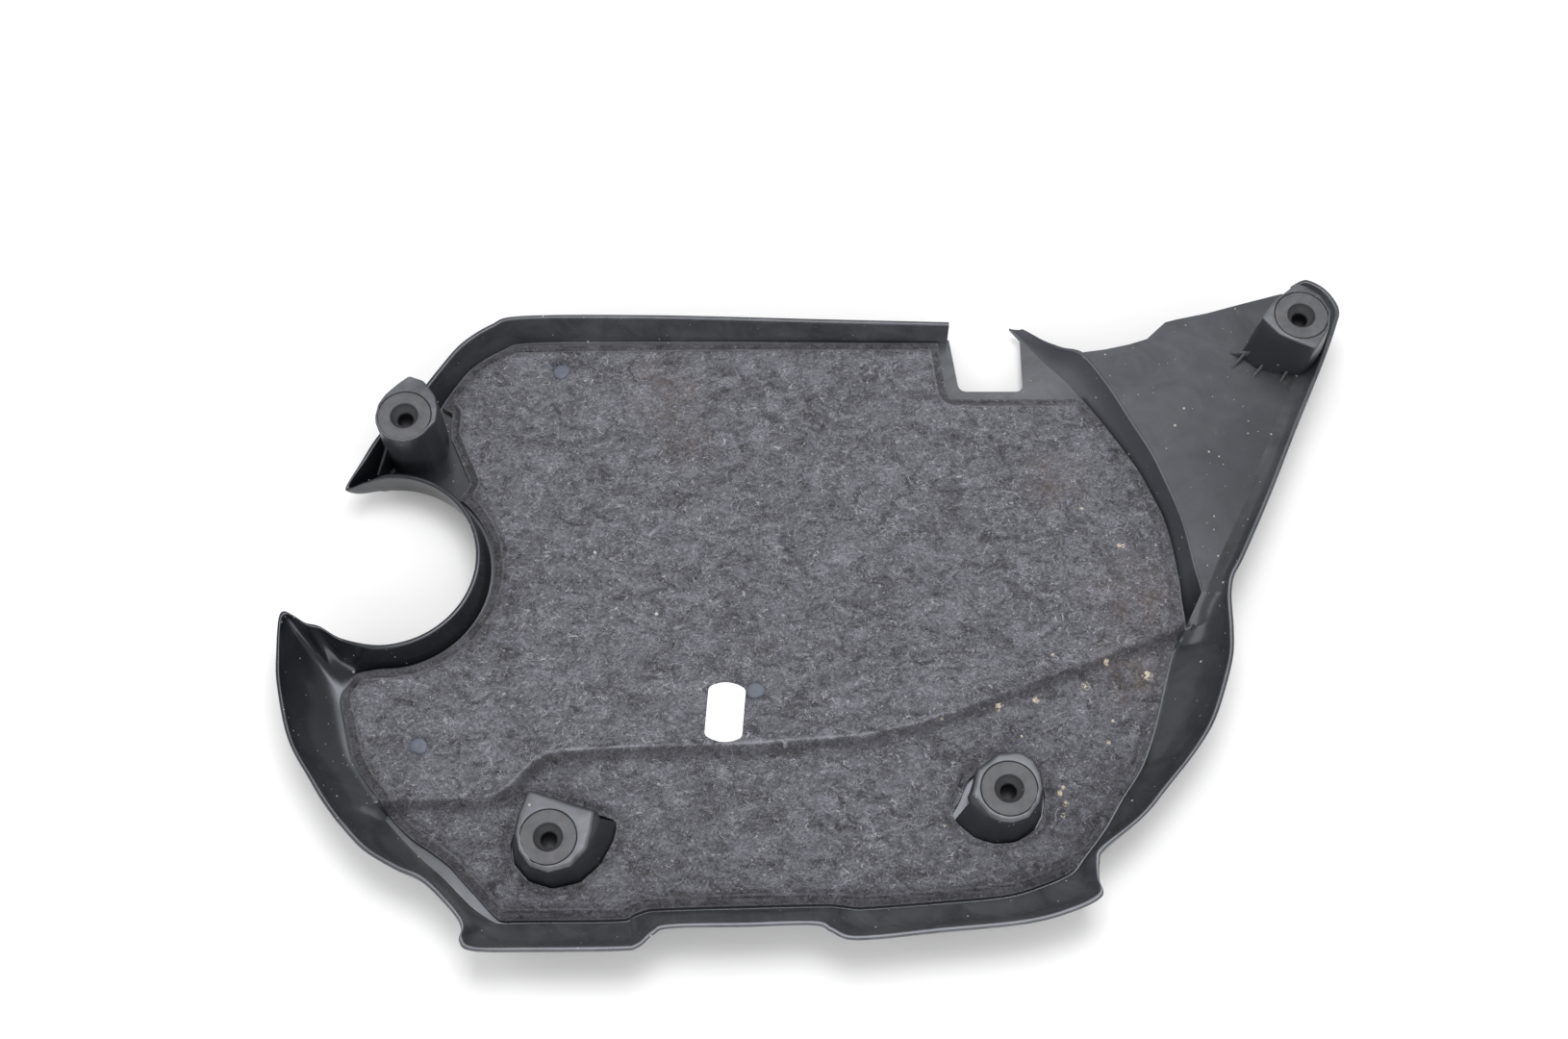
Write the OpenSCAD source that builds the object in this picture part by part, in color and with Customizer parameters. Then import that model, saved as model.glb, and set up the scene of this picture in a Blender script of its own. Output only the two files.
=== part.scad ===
// Engine cover, lying with its show face down and its engine side up.
// The origin is the centre of its footprint on the surface that it lies on.

/* [Overall] */
// Length from the lower horn tip to the wing tip, along X
cover_length = 543; // [520:1:580]
// Depth from the front rim to the wing tip, along Y
cover_depth = 360; // [345:1:390]

/* [Moulding] */
// Wall of the moulded shell
wall = 2.5; // [2:0.1:3]
// Height of the main panel above the front panel
step_height = 5; // [3:0.5:7]
// Horizontal run of the slope between the two panels
step_run = 6; // [5:0.5:9]
// Height of the underside of the wing above the front panel
wing_level = 21; // [18:0.5:23]
// Height of the skirt's rim along the left, front and right
skirt_rim = 31; // [29:0.5:35]
// Height of the back wall's rim at the corner
back_rim = 26; // [23:0.5:29]
// How much lower the back wall's rim is beside the notch
back_rim_fall = 1.5; // [0:0.5:4]
// Height of the rim round the round cut-out
cutout_rim = 27; // [24:0.5:29]
// Height of the flange along the wing
flange_rim = 33; // [31:0.5:36]
// Bevel on the edge of every rim
rim_bevel = 0.6; // [0.3:0.1:0.9]

/* [Round cut-out] */
// Radius of the round cut-out at its rim
cutout_r = 46; // [42:0.5:49]
// Draft of the round wall from its foot to its rim
cutout_draft = 3; // [2:0.5:5]
// Centre of the cut-out from the left end of the cover
cutout_inset = 49; // [45:0.5:51]
// Centre of the cut-out behind the middle of the cover
cutout_y = 20; // [18:0.5:22]

/* [Notch] */
// Width of the notch at its floor
notch_width = 34; // [28:0.5:38]
// Centre of the notch right of the middle of the cover
notch_x = 88.5; // [86:0.5:91]
// Floor of the notch behind the middle of the cover
notch_floor_y = 126; // [124:0.5:130]
// How far the left side of the notch leans out at the back wall
notch_lean = 4.5; // [2:0.5:8]
// Radius of the corners of the notch's floor
notch_r = 4.5; // [2:0.5:6]

/* [Sound pad] */
// Thickness of the felt pad
felt_thickness = 6; // [4:0.5:8]
// Strip left bare between the felt and the notch
felt_notch_margin = 6.5; // [4:0.5:10]

/* [Fixing towers] */
// Radius of the round side of a tower's top
tower_r = 16.5; // [16:0.25:18]
// Centre of the horn's tower from the left end of the cover
horn_tower_inset = 57; // [55:0.5:59]
// Centre of the wing's tower from the right end of the cover
wing_tower_inset = 27; // [25:0.5:29]
// Radius of the round side of the slim tower in the horn
slim_tower_r = 14.8; // [14.6:0.1:16]
// How much wider a tower is at its foot than at its top
tower_draft = 2; // [1:0.25:3]
// Wall of a tower
tower_wall = 2.2; // [1.8:0.1:2.6]
// Thickness of the plate that carries the grommet, under its disc
seat_plate = 2.6; // [2:0.1:3.5]
// Height of the two front towers
front_tower_top = 27; // [25:0.5:30]
// Height of the tower in the horn
horn_tower_top = 47; // [43:0.5:51]
// Height of the tower on the wing
wing_tower_top = 57; // [51:0.5:61]

/* [Grommets] */
// Radius of a grommet's disc
disc_r = 13.6; // [13:0.1:14]
// Thickness of a grommet's disc
disc_thickness = 2.6; // [2:0.1:3.5]
// Radius of a grommet's waist, inside the tower's plate
waist_r = 9.8; // [9:0.1:10.5]
// Radius of the collar under the tower's plate
collar_r = 11.6; // [11.2:0.1:12]
// Radius of the neck that a ball stud passes
neck_r = 4; // [3.5:0.1:4.5]
// Length of the neck
neck_length = 2; // [1.5:0.1:3]
// Radius of the funnel's mouth
funnel_r = 6.9; // [6:0.1:8]
// Depth of the funnel
funnel_depth = 5; // [4:0.5:6]
// Radius of the ball stud's socket
ball_r = 5.1; // [4.8:0.1:5.5]
// Clearance between a grommet and its seat
seat_gap = 0.25; // [0.1:0.05:0.4]

/* [Stakes and label] */
// Radius of a heat stake's pin
pin_r = 2; // [1.5:0.1:2.5]
// Radius of a heat stake's melted head
head_r = 3.2; // [3:0.1:4]
// Height of a heat stake's melted head
head_height = 1.3; // [0.8:0.1:2]
// Width of the label
label_width = 18.5; // [16:0.5:20]
// Length of the label between its bowed ends
label_length = 25; // [22:0.5:26]
// How far each end of the label bows out
label_bow = 3; // [1:0.5:3.5]
// Thickness of the label
label_thickness = 0.3; // [0.2:0.05:0.5]

/* [Hidden] */

// Lines that the outline is drawn from
// The tables are drawn at this length and depth, and their places stretch with the cover's
drawn_length = 543;
drawn_depth = 360;
left_x = -drawn_length / 2;
right_x = drawn_length / 2;
front_y = -drawn_depth / 2;
back_y = drawn_depth / 2;
back_wall_y = back_y - 18;
longer = cover_length / drawn_length;
deeper = cover_depth / drawn_depth;
function placed(p) = [p[0] * longer, p[1] * deeper];
function stretched(stations, along_y = deeper) = [for (s = stations)
    [s[0] * longer, s[1] * along_y, s[2], s[3] * longer, s[4] * along_y, s[5], s[6], s[7]]];

main_z = step_height;
main_floor = main_z + wall;
front_floor = wall;
wing_top = wing_level + wall;
cutout_centre = placed([left_x + cutout_inset, cutout_y]);
cutout_foot_r = cutout_r + cutout_draft;

// A station is one place on a wall: the rim's outer edge and the foot of the wall's
// outer face, how round the wall is (0 straight, 1 bowed) and the felt's distance.
RIM_Z = 2;
FOOT = 3;
FOOT_Z = 5;
ROUND = 6;
FELT = 7;
function rim_of(s) = [s[0], s[1]];
function foot_of(s) = [s[FOOT], s[FOOT + 1]];

// The wall behind, from the notch to the corner
back_stations = [
    [66, back_wall_y - 3, back_rim - back_rim_fall, 66, back_wall_y - 4.5, main_z, 1, 0.6],
    [0, back_wall_y - 1.5, back_rim - 1, 0, back_wall_y - 3.5, main_z, 1, 1.5],
    [-90, back_wall_y + 0.5, back_rim, -90, back_wall_y - 3, main_z, 1, 3],
    [-160, back_wall_y, back_rim, -158, back_wall_y - 4, main_z, 1, 3.5],
    [-177, back_wall_y - 5.5, back_rim, -174, back_wall_y - 9, main_z, 1, 2],
    [-192, back_wall_y - 17, back_rim, -189.5, back_wall_y - 20, main_z, 1, 1.5],
    [-203, back_wall_y - 32.5, back_rim, -200, back_wall_y - 35, main_z, 1, 1.5],
];
// The outer wall of the horn, down to its tip
horn_stations = [
    [left_x + 58.5, 114, back_rim, left_x + 63.5, 112, main_z, 1, 1.5],
    [left_x + 41, 91, back_rim + 1, left_x + 51, 88, main_z, 1, 1],
];
// Beside the cut-out a place keeps its distance from the circle, in front of it or behind it
function before_rim(d) = cutout_centre[1] - cutout_r - d * deeper;
function before_foot(d) = cutout_centre[1] - cutout_foot_r - d * deeper;
function behind_rim(d) = cutout_centre[1] + cutout_r + d * deeper;
function behind_foot(d) = cutout_centre[1] + cutout_foot_r + d * deeper;
horn_tip_stations = [
    [left_x + 32.5, behind_rim(9), back_rim, left_x + 43.5, behind_foot(8), main_z, 1, 1],
    [left_x + 25.5, behind_rim(-5.5), back_rim - 2, left_x + 38.5, behind_foot(1), main_z, 1, 1],
];
// The round wall of the cut-out, from the horn's tip clockwise
function on_cutout(a, foot_a, z) = [
    cutout_centre[0] + cutout_r * cos(a), cutout_centre[1] + cutout_r * sin(a), z,
    cutout_centre[0] + cutout_foot_r * cos(foot_a), cutout_centre[1] + cutout_foot_r * sin(foot_a),
    main_z, 0.5, 4.5];
cutout_stations = concat(
    [on_cutout(108, 99, cutout_rim - 3), on_cutout(95, 93, cutout_rim - 1)],
    [for (a = [78 : -17 : -92]) on_cutout(a, a, cutout_rim)]);
// The lower horn, round its tip
tip_stations = [
    [left_x + 31, before_rim(-3.5), cutout_rim, left_x + 35.5, before_foot(2.5), main_z, 0.6, 1.5],
    [left_x + 20, before_rim(-9.5), cutout_rim + 1, left_x + 32.5, before_foot(7), main_z, 0.8, 1],
    [left_x + 13, before_rim(-11), cutout_rim + 2, left_x + 30.5, before_foot(9.5), main_z, 0.9, 1],
    [left_x + 7, before_rim(-14.5), skirt_rim - 1, left_x + 29, before_foot(11.5), main_z, 1, 1],
    [left_x + 2, before_rim(-16.5), skirt_rim - 0.5, left_x + 28, before_foot(13.5), main_z, 1, 1],
    [left_x, before_rim(-12), skirt_rim, left_x + 27.5, before_foot(16), main_z, 1, 1.5],
    [left_x + 0.5, before_rim(4), skirt_rim, left_x + 27.5, before_foot(21), main_z, 1, 2],
    [left_x + 2.5, before_rim(22), skirt_rim, left_x + 29, before_foot(29), main_z, 1, 2],
];
// The bowed skirt on the left, down to where the panel steps
left_stations = [
    [left_x + 10.5, -76, skirt_rim, left_x + 35, -80, main_z, 1, 2],
    [left_x + 23, -97, skirt_rim, left_x + 43, -94, main_z, 1, 2],
    [left_x + 31, -109, skirt_rim, left_x + 49, -102, main_z, 1, 2],
];
// The skirt round the lower left corner and along the front
front_stations = [
    [-231.5, front_y + 60, skirt_rim, -217.5, front_y + 70, 0, 1, 2],
    [-220, front_y + 48.5, skirt_rim, -207, front_y + 58.5, 0, 1, 3],
    [-205, front_y + 39.5, skirt_rim, -197.5, front_y + 49.5, 0, 1, 5],
    [-191, front_y + 33, skirt_rim, -187, front_y + 40.5, 0, 1, 6],
    [-176, front_y + 18.5, skirt_rim, -173, front_y + 27, 0, 1, 5.5],
    [-171.5, front_y + 11, skirt_rim, -165.5, front_y + 21.5, 0, 1, 3],
    [-172, front_y + 5, skirt_rim, -162, front_y + 19.5, 0, 1, 2],
    [-166, front_y + 0.5, skirt_rim, -157, front_y + 18, 0, 1, 1],
    [-140, front_y, skirt_rim, -140, front_y + 18, 0, 1, 0.8],
    [-98, front_y + 0.5, skirt_rim, -100, front_y + 18.5, 0, 1, 0.8],
    [-89, front_y + 2, skirt_rim, -93.5, front_y + 20.5, 0, 0.7, 0.8],
    [-82, front_y + 8, skirt_rim, -87, front_y + 23, 0, 0.2, 0.8],
    [-74, front_y + 11, skirt_rim, -79, front_y + 24, 0, 0, 0.8],
    [-40, front_y + 11.7, skirt_rim, -40, front_y + 25, 0, 0, 0.8],
    [-8, front_y + 12.5, skirt_rim, -4, front_y + 26, 0, 0, 0.8],
    [0, front_y + 9.5, skirt_rim, 5, front_y + 25.5, 0, 0.3, 0.8],
    [8, front_y + 5.8, skirt_rim, 13, front_y + 24.5, 0, 0.8, 0.8],
    [22, front_y + 6, skirt_rim, 24, front_y + 25, 0, 1, 0.8],
    [50, front_y + 9, skirt_rim, 50, front_y + 27, 0, 1, 0.8],
    [90, front_y + 13, skirt_rim, 86, front_y + 30.5, 0, 1, 0.8],
    [112, front_y + 18.5, skirt_rim, 106, front_y + 36.5, 0, 1, 0.8],
    [127, front_y + 26, skirt_rim, 116, front_y + 41, 0, 1, 0.8],
    [126.5, front_y + 34, skirt_rim, 120, front_y + 43.5, 0, 1, 0.8],
    [127, front_y + 42, skirt_rim, 122.5, front_y + 46, 0, 1, 0.8],
];
// The skirt on the right, up to the foot of the wing
right_stations = [
    [right_x - 141.5, -131, skirt_rim, right_x - 145.5, -129, 0, 1, 0.8],
    [right_x - 122, -115, skirt_rim, right_x - 133.5, -113, 0, 1, 0.8],
    [right_x - 109, -100, skirt_rim, right_x - 124.5, -98, 0, 1, 0.8],
    [right_x - 95, -83, skirt_rim, right_x - 114, -82, 0, 1, 0.8],
    [right_x - 85, -68, skirt_rim, right_x - 106.5, -64, 0, 1, 0.8],
    [right_x - 78, -51, skirt_rim, right_x - 100.5, -44, 0, 1, 0.8],
    [right_x - 72.5, -33, skirt_rim, right_x - 94.5, -24, 0, 1, 0.8],
    [right_x - 71, -19, skirt_rim, right_x - 90.5, -17, 0, 1, 2.2],
    [right_x - 70.8, -9, skirt_rim, right_x - 87, -10, main_z, 1, 4],
];
// The flange along the wing and round its tip
flange_stations = [
    [right_x - 70.5, 0, flange_rim - 1.5, right_x - 80, 3, wing_level, 1, 1],
    [right_x - 68.5, 9, flange_rim - 1, right_x - 75.5, 12, wing_level, 1, 1],
    [right_x - 62.5, 20, flange_rim - 0.5, right_x - 70, 24, wing_level, 1, 1],
    [right_x - 46.5, 53, flange_rim, right_x - 54, 56, wing_level, 1, 1],
    [right_x - 29.5, 91, flange_rim, right_x - 37, 94, wing_level, 1, 1],
    [right_x - 12, 129, flange_rim, right_x - 19, 132, wing_level, 1, 1],
    [right_x - 2.5, 152, flange_rim, right_x - 9.5, 153, wing_level, 1, 1],
    [right_x, back_y - 19, flange_rim, right_x - 6.5, back_y - 20, wing_level, 1, 1],
    [right_x - 2.5, back_y - 11, flange_rim, right_x - 8.5, back_y - 15, wing_level, 1, 1],
    [right_x - 8, back_y - 4, flange_rim, right_x - 12, back_y - 10, wing_level, 1, 1],
    [right_x - 16, back_y, flange_rim, right_x - 18, back_y - 7, wing_level, 1, 1],
    [right_x - 23.5, back_y - 2.5, flange_rim - 3, right_x - 23, back_y - 9, wing_level, 1, 1],
];
skirt_stations = concat(
    stretched(concat(back_stations, horn_stations)), stretched(horn_tip_stations, 1), cutout_stations,
    stretched(tip_stations, 1),
    stretched(concat(left_stations, front_stations, right_stations, flange_stations)));
// The slope between the main panel and the wing, from the right up to the notch
slope_rim = wing_top - 0.4;
slope_stations = [
    [186, -12, main_z + 2.9, 184.3, -11.5, main_z, 0.5, 1],
    [187.5, -4, slope_rim - 9, 183.6, -3, main_z, 0.5, 1],
    [189.5, 4, slope_rim, 183, 5, main_z, 0.5, 1],
    [187, 17, slope_rim, 182, 19, main_z, 0.5, 1],
    [182, 44.5, slope_rim, 177.5, 47.5, main_z, 0.5, 1],
    [172, 77.5, slope_rim, 168, 75.5, main_z, 0.5, 1],
    [160.5, 101, slope_rim, 154.5, 99, main_z, 0.5, 1],
    [149, 123.5, slope_rim, 140.5, 120, main_z, 0.5, 1],
    [137, 141, slope_rim, 129, 135, main_z, 0.5, 1],
    [126, 146.5, slope_rim - 3.5, 119, 145, main_z, 0.5, 1],
    [117, 152.5, slope_rim - 7, 111, 154, main_z, 0.5, 1],
    [108, 160, slope_rim - 10, 103, 163, main_z, 0.5, 1],
];
// The wing's corner under the end of the flange
wing_corner = [[right_x - 22.9, 172], [right_x - 23.5, 175]];
// The free edge of the wing, from its tip back to the slope
wing_edge = [[244.5, 176.7], [224.5, 171], [203.5, 164.7], [186.5, 160.8], [181, 159.2],
             [176.5, 155], [170.5, 149], [161, 145.8], [148.5, 142.8], [136.5, 141]];
// The crest of the step, past both sides of the cover
crest_line = [[-245, -101.5], [-169, -100.8], [-162, -99], [-155, -94], [-143, -80.5], [-137, -77.5],
              [-128, -76.2], [-81, -73.8], [-40, -73], [18, -68.5], [45, -62], [68, -53.5],
              [130, -29.5], [200, -1]];
crest = [for (p = crest_line) placed(p)];

// Sizes of the mesh: parts of a bay between two stations, and points up a wall
bays = 2;
rises = 3;

// Smooth curve through four values, at t from 0 to 1 between b and c
function curve(a, b, c, d, t) =
    b + t * (c - a) / 2 + t * t * (a - 2.5 * b + 2 * c - d / 2)
    + t * t * t * (-a / 2 + 1.5 * b - 1.5 * c + d / 2);
function blend(a, b, t) = a + (b - a) * t;
// Plan positions follow a smooth curve, heights and shape values run straight
function between(s, i, t) = let(last = len(s) - 1, a = s[max(0, i - 1)], b = s[i], c = s[min(last, i + 1)],
                                d = s[min(last, i + 2)])
    [for (k = [0 : len(b) - 1]) (k == RIM_Z || k >= FOOT_Z) ? blend(b[k], c[k], t)
                                                            : curve(a[k], b[k], c[k], d[k], t)];
function smooth(s) = concat([for (i = [0 : len(s) - 2]) for (j = [0 : bays - 1]) between(s, i, j / bays)],
                            [s[len(s) - 1]]);
function unit(v) = v / norm(v);
function outward(s) = unit(rim_of(s) - foot_of(s));
function inset(s, d) = foot_of(s) - outward(s) * d;
function at_level(s, z) = abs(s[FOOT_Z] - z) < 0.01;

skirt = smooth(skirt_stations);
slope = smooth(stretched(slope_stations));

// One closed skin from a list of rings, each a list of as many points
module loft(rings) {
    count = len(rings[0]);
    last = len(rings) - 1;
    points = [for (ring = rings) for (p = ring) p];
    sides = [for (i = [0 : last - 1]) for (j = [0 : count - 1]) let(k = (j + 1) % count)
             each [[i * count + j, i * count + k, (i + 1) * count + k],
                   [i * count + j, (i + 1) * count + k, (i + 1) * count + j]]];
    start = [[for (j = [count - 1 : -1 : 0]) j]];
    end = [[for (j = [0 : count - 1]) last * count + j]];
    polyhedron(points, concat(start, sides, end), convexity = 8);
}

// The section of a moulded wall at one station, with a root that lies in the panel's edge
function wall_section(s) =
    let(run = norm(rim_of(s) - foot_of(s)), rise = s[RIM_Z] - s[FOOT_Z], o = outward(s),
        root = s[FOOT_Z] > main_z ? wall : wall + 4, bevel = rim_bevel, skin = 0.4, foot = wall + 0.05,
        across = function(q) blend(q, sin(90 * q), s[ROUND]),
        up = function(q) blend(q, 1 - cos(90 * q), s[ROUND]),
        outer = [for (i = [0 : rises]) let(q = i / rises) [run * across(q), (rise - bevel) * up(q)]],
        inner = [for (i = [rises : -1 : 0]) let(q = i / rises)
                 [run * across(q) - wall, foot + (rise - foot - bevel) * up(q)]],
        section = concat([[-root, wall - skin], [-root, skin]], outer,
                         [[run - bevel, rise], [run - wall + bevel, rise]], inner))
    [for (p = section) [s[FOOT] + o[0] * p[0], s[FOOT + 1] + o[1] * p[0], s[FOOT_Z] + p[1]]];
module moulded_wall(stations) {
    loft([for (s = stations) wall_section(s)]);
}

// The direction down the slope at each point of the crest
function down_slope(i) =
    let(a = crest[max(0, i - 1)], b = crest[min(len(crest) - 1, i + 1)], d = unit(b - a)) [d[1], -d[0]];
step_foot = [for (i = [0 : len(crest) - 1]) crest[i] + down_slope(i) * step_run];
// A sheet that steps down at the crest, cut to the outline that its children draw
module stepped_sheet(low_z, thickness) {
    high_z = low_z + step_height;
    edge = cover_depth / 2;
    intersection() {
        loft([for (i = [0 : len(crest) - 1]) let(c = crest[i], f = step_foot[i]) [
            [c[0], edge, high_z], [c[0], c[1], high_z], [f[0], f[1], low_z], [f[0], -edge, low_z],
            [f[0], -edge, low_z + thickness], [f[0], f[1], low_z + thickness],
            [c[0], c[1], high_z + thickness], [c[0], edge, high_z + thickness]]]);
        translate([0, 0, low_z - 1]) linear_extrude(step_height + thickness + 2) children();
    }
}

// Stations round the two panels, and round the wing
panel_stations = concat([for (s = skirt) if (s[FOOT_Z] <= main_z) s],
                        [for (i = [1 : len(slope) - 1]) slope[i]]);
wing_stations = [for (s = skirt) if (at_level(s, wing_level)) s];
crest_stations = [for (i = [len(slope) - 1 : -1 : 0]) if (slope[i][RIM_Z] > slope_rim - 0.01) slope[i]];
// A panel's corners lie halfway between stations, a little inside the foot of the wall
function halfway(points) = [for (i = [0 : len(points) - 2]) (points[i] + points[i + 1]) / 2];
lap = 1;
panel_outline = halfway([for (s = panel_stations) inset(s, lap)]);
wing_outline = concat(
    [placed([right_x - 81.7, 3.4])],
    halfway([for (s = wing_stations) inset(s, lap)]),
    [for (p = wing_corner) placed(p)],
    [for (p = wing_edge) placed(p)],
    halfway([for (s = crest_stations) rim_of(s) - outward(s) * (wall - 0.4)]));

// A polygon with round corners: each corner is its place and its radius
function corner_arc(a, b, c, r, n) =
    let(u = unit(a - b), v = unit(c - b), half = acos(u * v) / 2, d = r / tan(half),
        centre = b + unit(u + v) * r / sin(half), p = b + u * d - centre, q = b + v * d - centre,
        turn = atan2(p[0] * q[1] - p[1] * q[0], p * q))
    [for (i = [0 : n]) centre + [p[0] * cos(turn * i / n) - p[1] * sin(turn * i / n),
                                 p[0] * sin(turn * i / n) + p[1] * cos(turn * i / n)]];
function rounded(corners, n = 5) =
    let(m = len(corners)) [for (i = [0 : m - 1])
        let(a = corners[(i + m - 1) % m], b = corners[i], c = corners[(i + 1) % m])
        each b[2] > 0 ? corner_arc([a[0], a[1]], [b[0], b[1]], [c[0], c[1]], b[2], n) : [[b[0], b[1]]]];

// The notch in the back edge, widened by a margin for the felt's cut-out
notch_middle = placed([notch_x, notch_floor_y])[0];
notch_floor = placed([notch_x, notch_floor_y])[1];
notch_back = cover_depth / 2;
lean = notch_lean * (back_y - notch_floor_y) / (back_wall_y - 4 - notch_floor_y);
function notch_corners(margin, r) = [
    [notch_middle - notch_width / 2 - margin, notch_floor - margin, r],
    [notch_middle + notch_width / 2 + margin, notch_floor - margin, r],
    [notch_middle + notch_width / 2 + margin - 0.5, notch_back, 0],
    [notch_middle - notch_width / 2 - lean - margin, notch_back, 0]];
module notch_cut() {
    linear_extrude(wing_tower_top) polygon(rounded(notch_corners(0, notch_r)));
}

// Where the four towers stand
horn_tower = placed([left_x + horn_tower_inset, 91]);
wing_tower = placed([right_x - wing_tower_inset, 144]);
front_left_tower = placed([-133.5, -124]);
front_right_tower = placed([86.5, -100]);

// Each tower's outline at its top and at its foot, about the centre of its grommet
function arc(r, from, to) = [for (a = [from : 15 : to]) [r * cos(a), r * sin(a)]];
horn_top = concat(arc(slim_tower_r, 180, 330), [
    [16.4, -3.2], [16.7, 4.6], [15, 11.5], [12.3, 15.3], [8.3, 20.4], [0.8, 23.2], [-5.1, 18.2],
    [-10.6, 12.5], [-13.8, 6.9]]);
horn_foot = concat(arc(slim_tower_r, 180, 330), [
    [17, -3.2], [17.2, 4.6], [15.8, 11.8], [13, 15.8], [8.8, 19.9], [1.6, 21.8], [-5.1, 17.6],
    [-10.6, 12.5], [-13.8, 6.9]]);
wing_top_drawn = [
    [-20.5, -1.6], [-12.6, -11.1], [-3.7, -15.8], [3.3, -19], [6, -19.5], [9.6, -13.9], [13.6, -7.3],
    [15.3, 3], [10.7, 12.2], [3.5, 17.5], [-1, 18.9], [-5.2, 15.2], [-12, 9.8]];
wing_foot_drawn = [
    [-26.7, -5.4], [-18.9, -12.6], [-8.9, -15.8], [3, -17], [7.1, -16.5], [12, -12.9], [15.6, -7.3],
    [16.5, 3], [12, 12.2], [3.5, 18.5], [-2, 19.9], [-7, 16.2], [-15, 10.8]];
front_left_top_drawn = [
    [-10.6, 23.8], [-14.6, 12.2], [-16.3, 1.9], [-14.2, -6.7], [-8.6, -14.5], [0.6, -17.6], [11.8, -14.5],
    [19, -5.9], [21.3, 4.3], [22.1, 13.4]];
front_left_foot_drawn = [
    [-13, 25], [-17, 13], [-20.2, 1.9], [-18.8, -6.5], [-11.3, -14.8], [1, -18.6], [13.8, -16],
    [23.5, -8], [30.5, 4.3], [33, 14.5]];
front_right_top_drawn = [
    [3.7, 18.9], [-4.8, 17.9], [-15.2, 9.8], [-17.5, 0.2], [-18.6, -3], [-15, -8], [-10, -14.2],
    [-4.7, -16.6], [1.4, -17.2], [9.2, -14.4], [14.4, -7.2], [16.4, 0.2], [15.6, 8.2], [12.6, 14.7],
    [7.6, 18.3]];
front_right_foot_drawn = [
    [4, 20.5], [-6, 19.5], [-17.2, 11], [-22, 1], [-28, -7], [-25, -11.5], [-16.6, -18.6],
    [-6.3, -21.4], [4.6, -20], [14, -13.5], [17.8, -6], [19, 2.1], [18, 10], [14.2, 16.5], [9, 19.6]];
drawn_tower_r = 16.5;
drawn_draft = 2;
function top_of(drawn) = drawn * tower_r / drawn_tower_r;
function foot_under(top, drawn) = [for (i = [0 : len(top) - 1])
    top[i] + (drawn[i] * tower_r / drawn_tower_r - top[i]) * tower_draft / drawn_draft];
wing_top_outline = top_of(wing_top_drawn);
wing_foot_outline = foot_under(wing_top_outline, wing_foot_drawn);
front_left_top = top_of(front_left_top_drawn);
front_left_foot = foot_under(front_left_top, front_left_foot_drawn);
front_right_top = top_of(front_right_top_drawn);
front_right_foot = foot_under(front_right_top, front_right_foot_drawn);
function raised(outline, place, z) = [for (p = outline) [place[0] + p[0], place[1] + p[1], z]];
function grown(outline, d) = [for (p = outline) p * (1 + d / norm(p))];
// The hollow runs out of the tower's side at the points that face the open direction
function faces(p, open) = p * [cos(open[0]), sin(open[0])] > norm(p) * cos(open[1]);
function hollow(outline, open) = [for (p = outline)
    p * (1 + (faces(p, open) ? 8 : -tower_wall - 0.3) / norm(p))];
module tower(place, top, foot, top_z, foot_z, open) {
    under = top_z - disc_thickness - seat_plate;
    difference() {
        loft([raised(top, place, top_z), raised(foot, place, foot_z)]);
        loft([raised(hollow(top, open), place, under), raised(hollow(foot, open), place, foot_z - 1)]);
    }
}
// The seat of a grommet: a counterbore for its disc and a hole for its waist
module seat(place, top_z) {
    translate([place[0], place[1], top_z - disc_thickness])
        cylinder(r = disc_r + seat_gap, h = disc_thickness + 1, $fn = 64);
    translate([place[0], place[1], top_z - disc_thickness - seat_plate - 1])
        cylinder(r = waist_r + seat_gap, h = disc_thickness + seat_plate + 1, $fn = 64);
}
module seats() {
    seat(horn_tower, horn_tower_top);
    seat(wing_tower, wing_tower_top);
    seat(front_left_tower, front_tower_top);
    seat(front_right_tower, front_tower_top);
}

// What lies inside a run of the skirt, with its sides leaning out above the rim
module within_skirt(first, last, heart) {
    run = [for (i = [first : last]) skirt[i]];
    intersection() {
        children();
        loft(concat(
            [concat([for (s = run) let(p = rim_of(s) + outward(s) * lean_out) [p[0], p[1], space_top]],
                    [for (p = heart) [p[0], p[1], space_top]])],
            [for (i = [rises : -1 : 0]) concat(
                [for (s = run) wall_middle(s, i / rises)],
                [for (p = heart) [p[0], p[1], blend(run[0][FOOT_Z], run[0][RIM_Z], i / rises)]])]));
    }
}
lean_out = 8;
space_top = 70;
function wall_middle(s, q) =
    let(reach = norm(rim_of(s) - foot_of(s)) * blend(q, sin(90 * q), s[ROUND]) - wall / 2,
        p = foot_of(s) + outward(s) * reach)
    [p[0], p[1], s[FOOT_Z] + (s[RIM_Z] - s[FOOT_Z]) * blend(q, 1 - cos(90 * q), s[ROUND])];

// A thin rib that stands on end between two places, with a height at each
module rib(from, to, foot_z, from_z, to_z, thickness) {
    along = to - from;
    translate([from[0], from[1], 0]) rotate([90, 0, atan2(along[1], along[0])])
        linear_extrude(thickness, center = true)
            polygon([[0, foot_z], [norm(along), foot_z], [norm(along), to_z], [0, from_z]]);
}
// Gussets at the foot of the wing's tower, from the tower outwards
gusset_lines = [[[-11, -8], [-20.2, -17.5]], [[0, -12], [-6.5, -18.9]], [[7.5, -13], [2.9, -21.8]],
                [[-22, -7], [-31.1, -3]]];
gusset_height = 6;
gusset_thickness = 1.2;
rib_thickness = 1.6;

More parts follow.
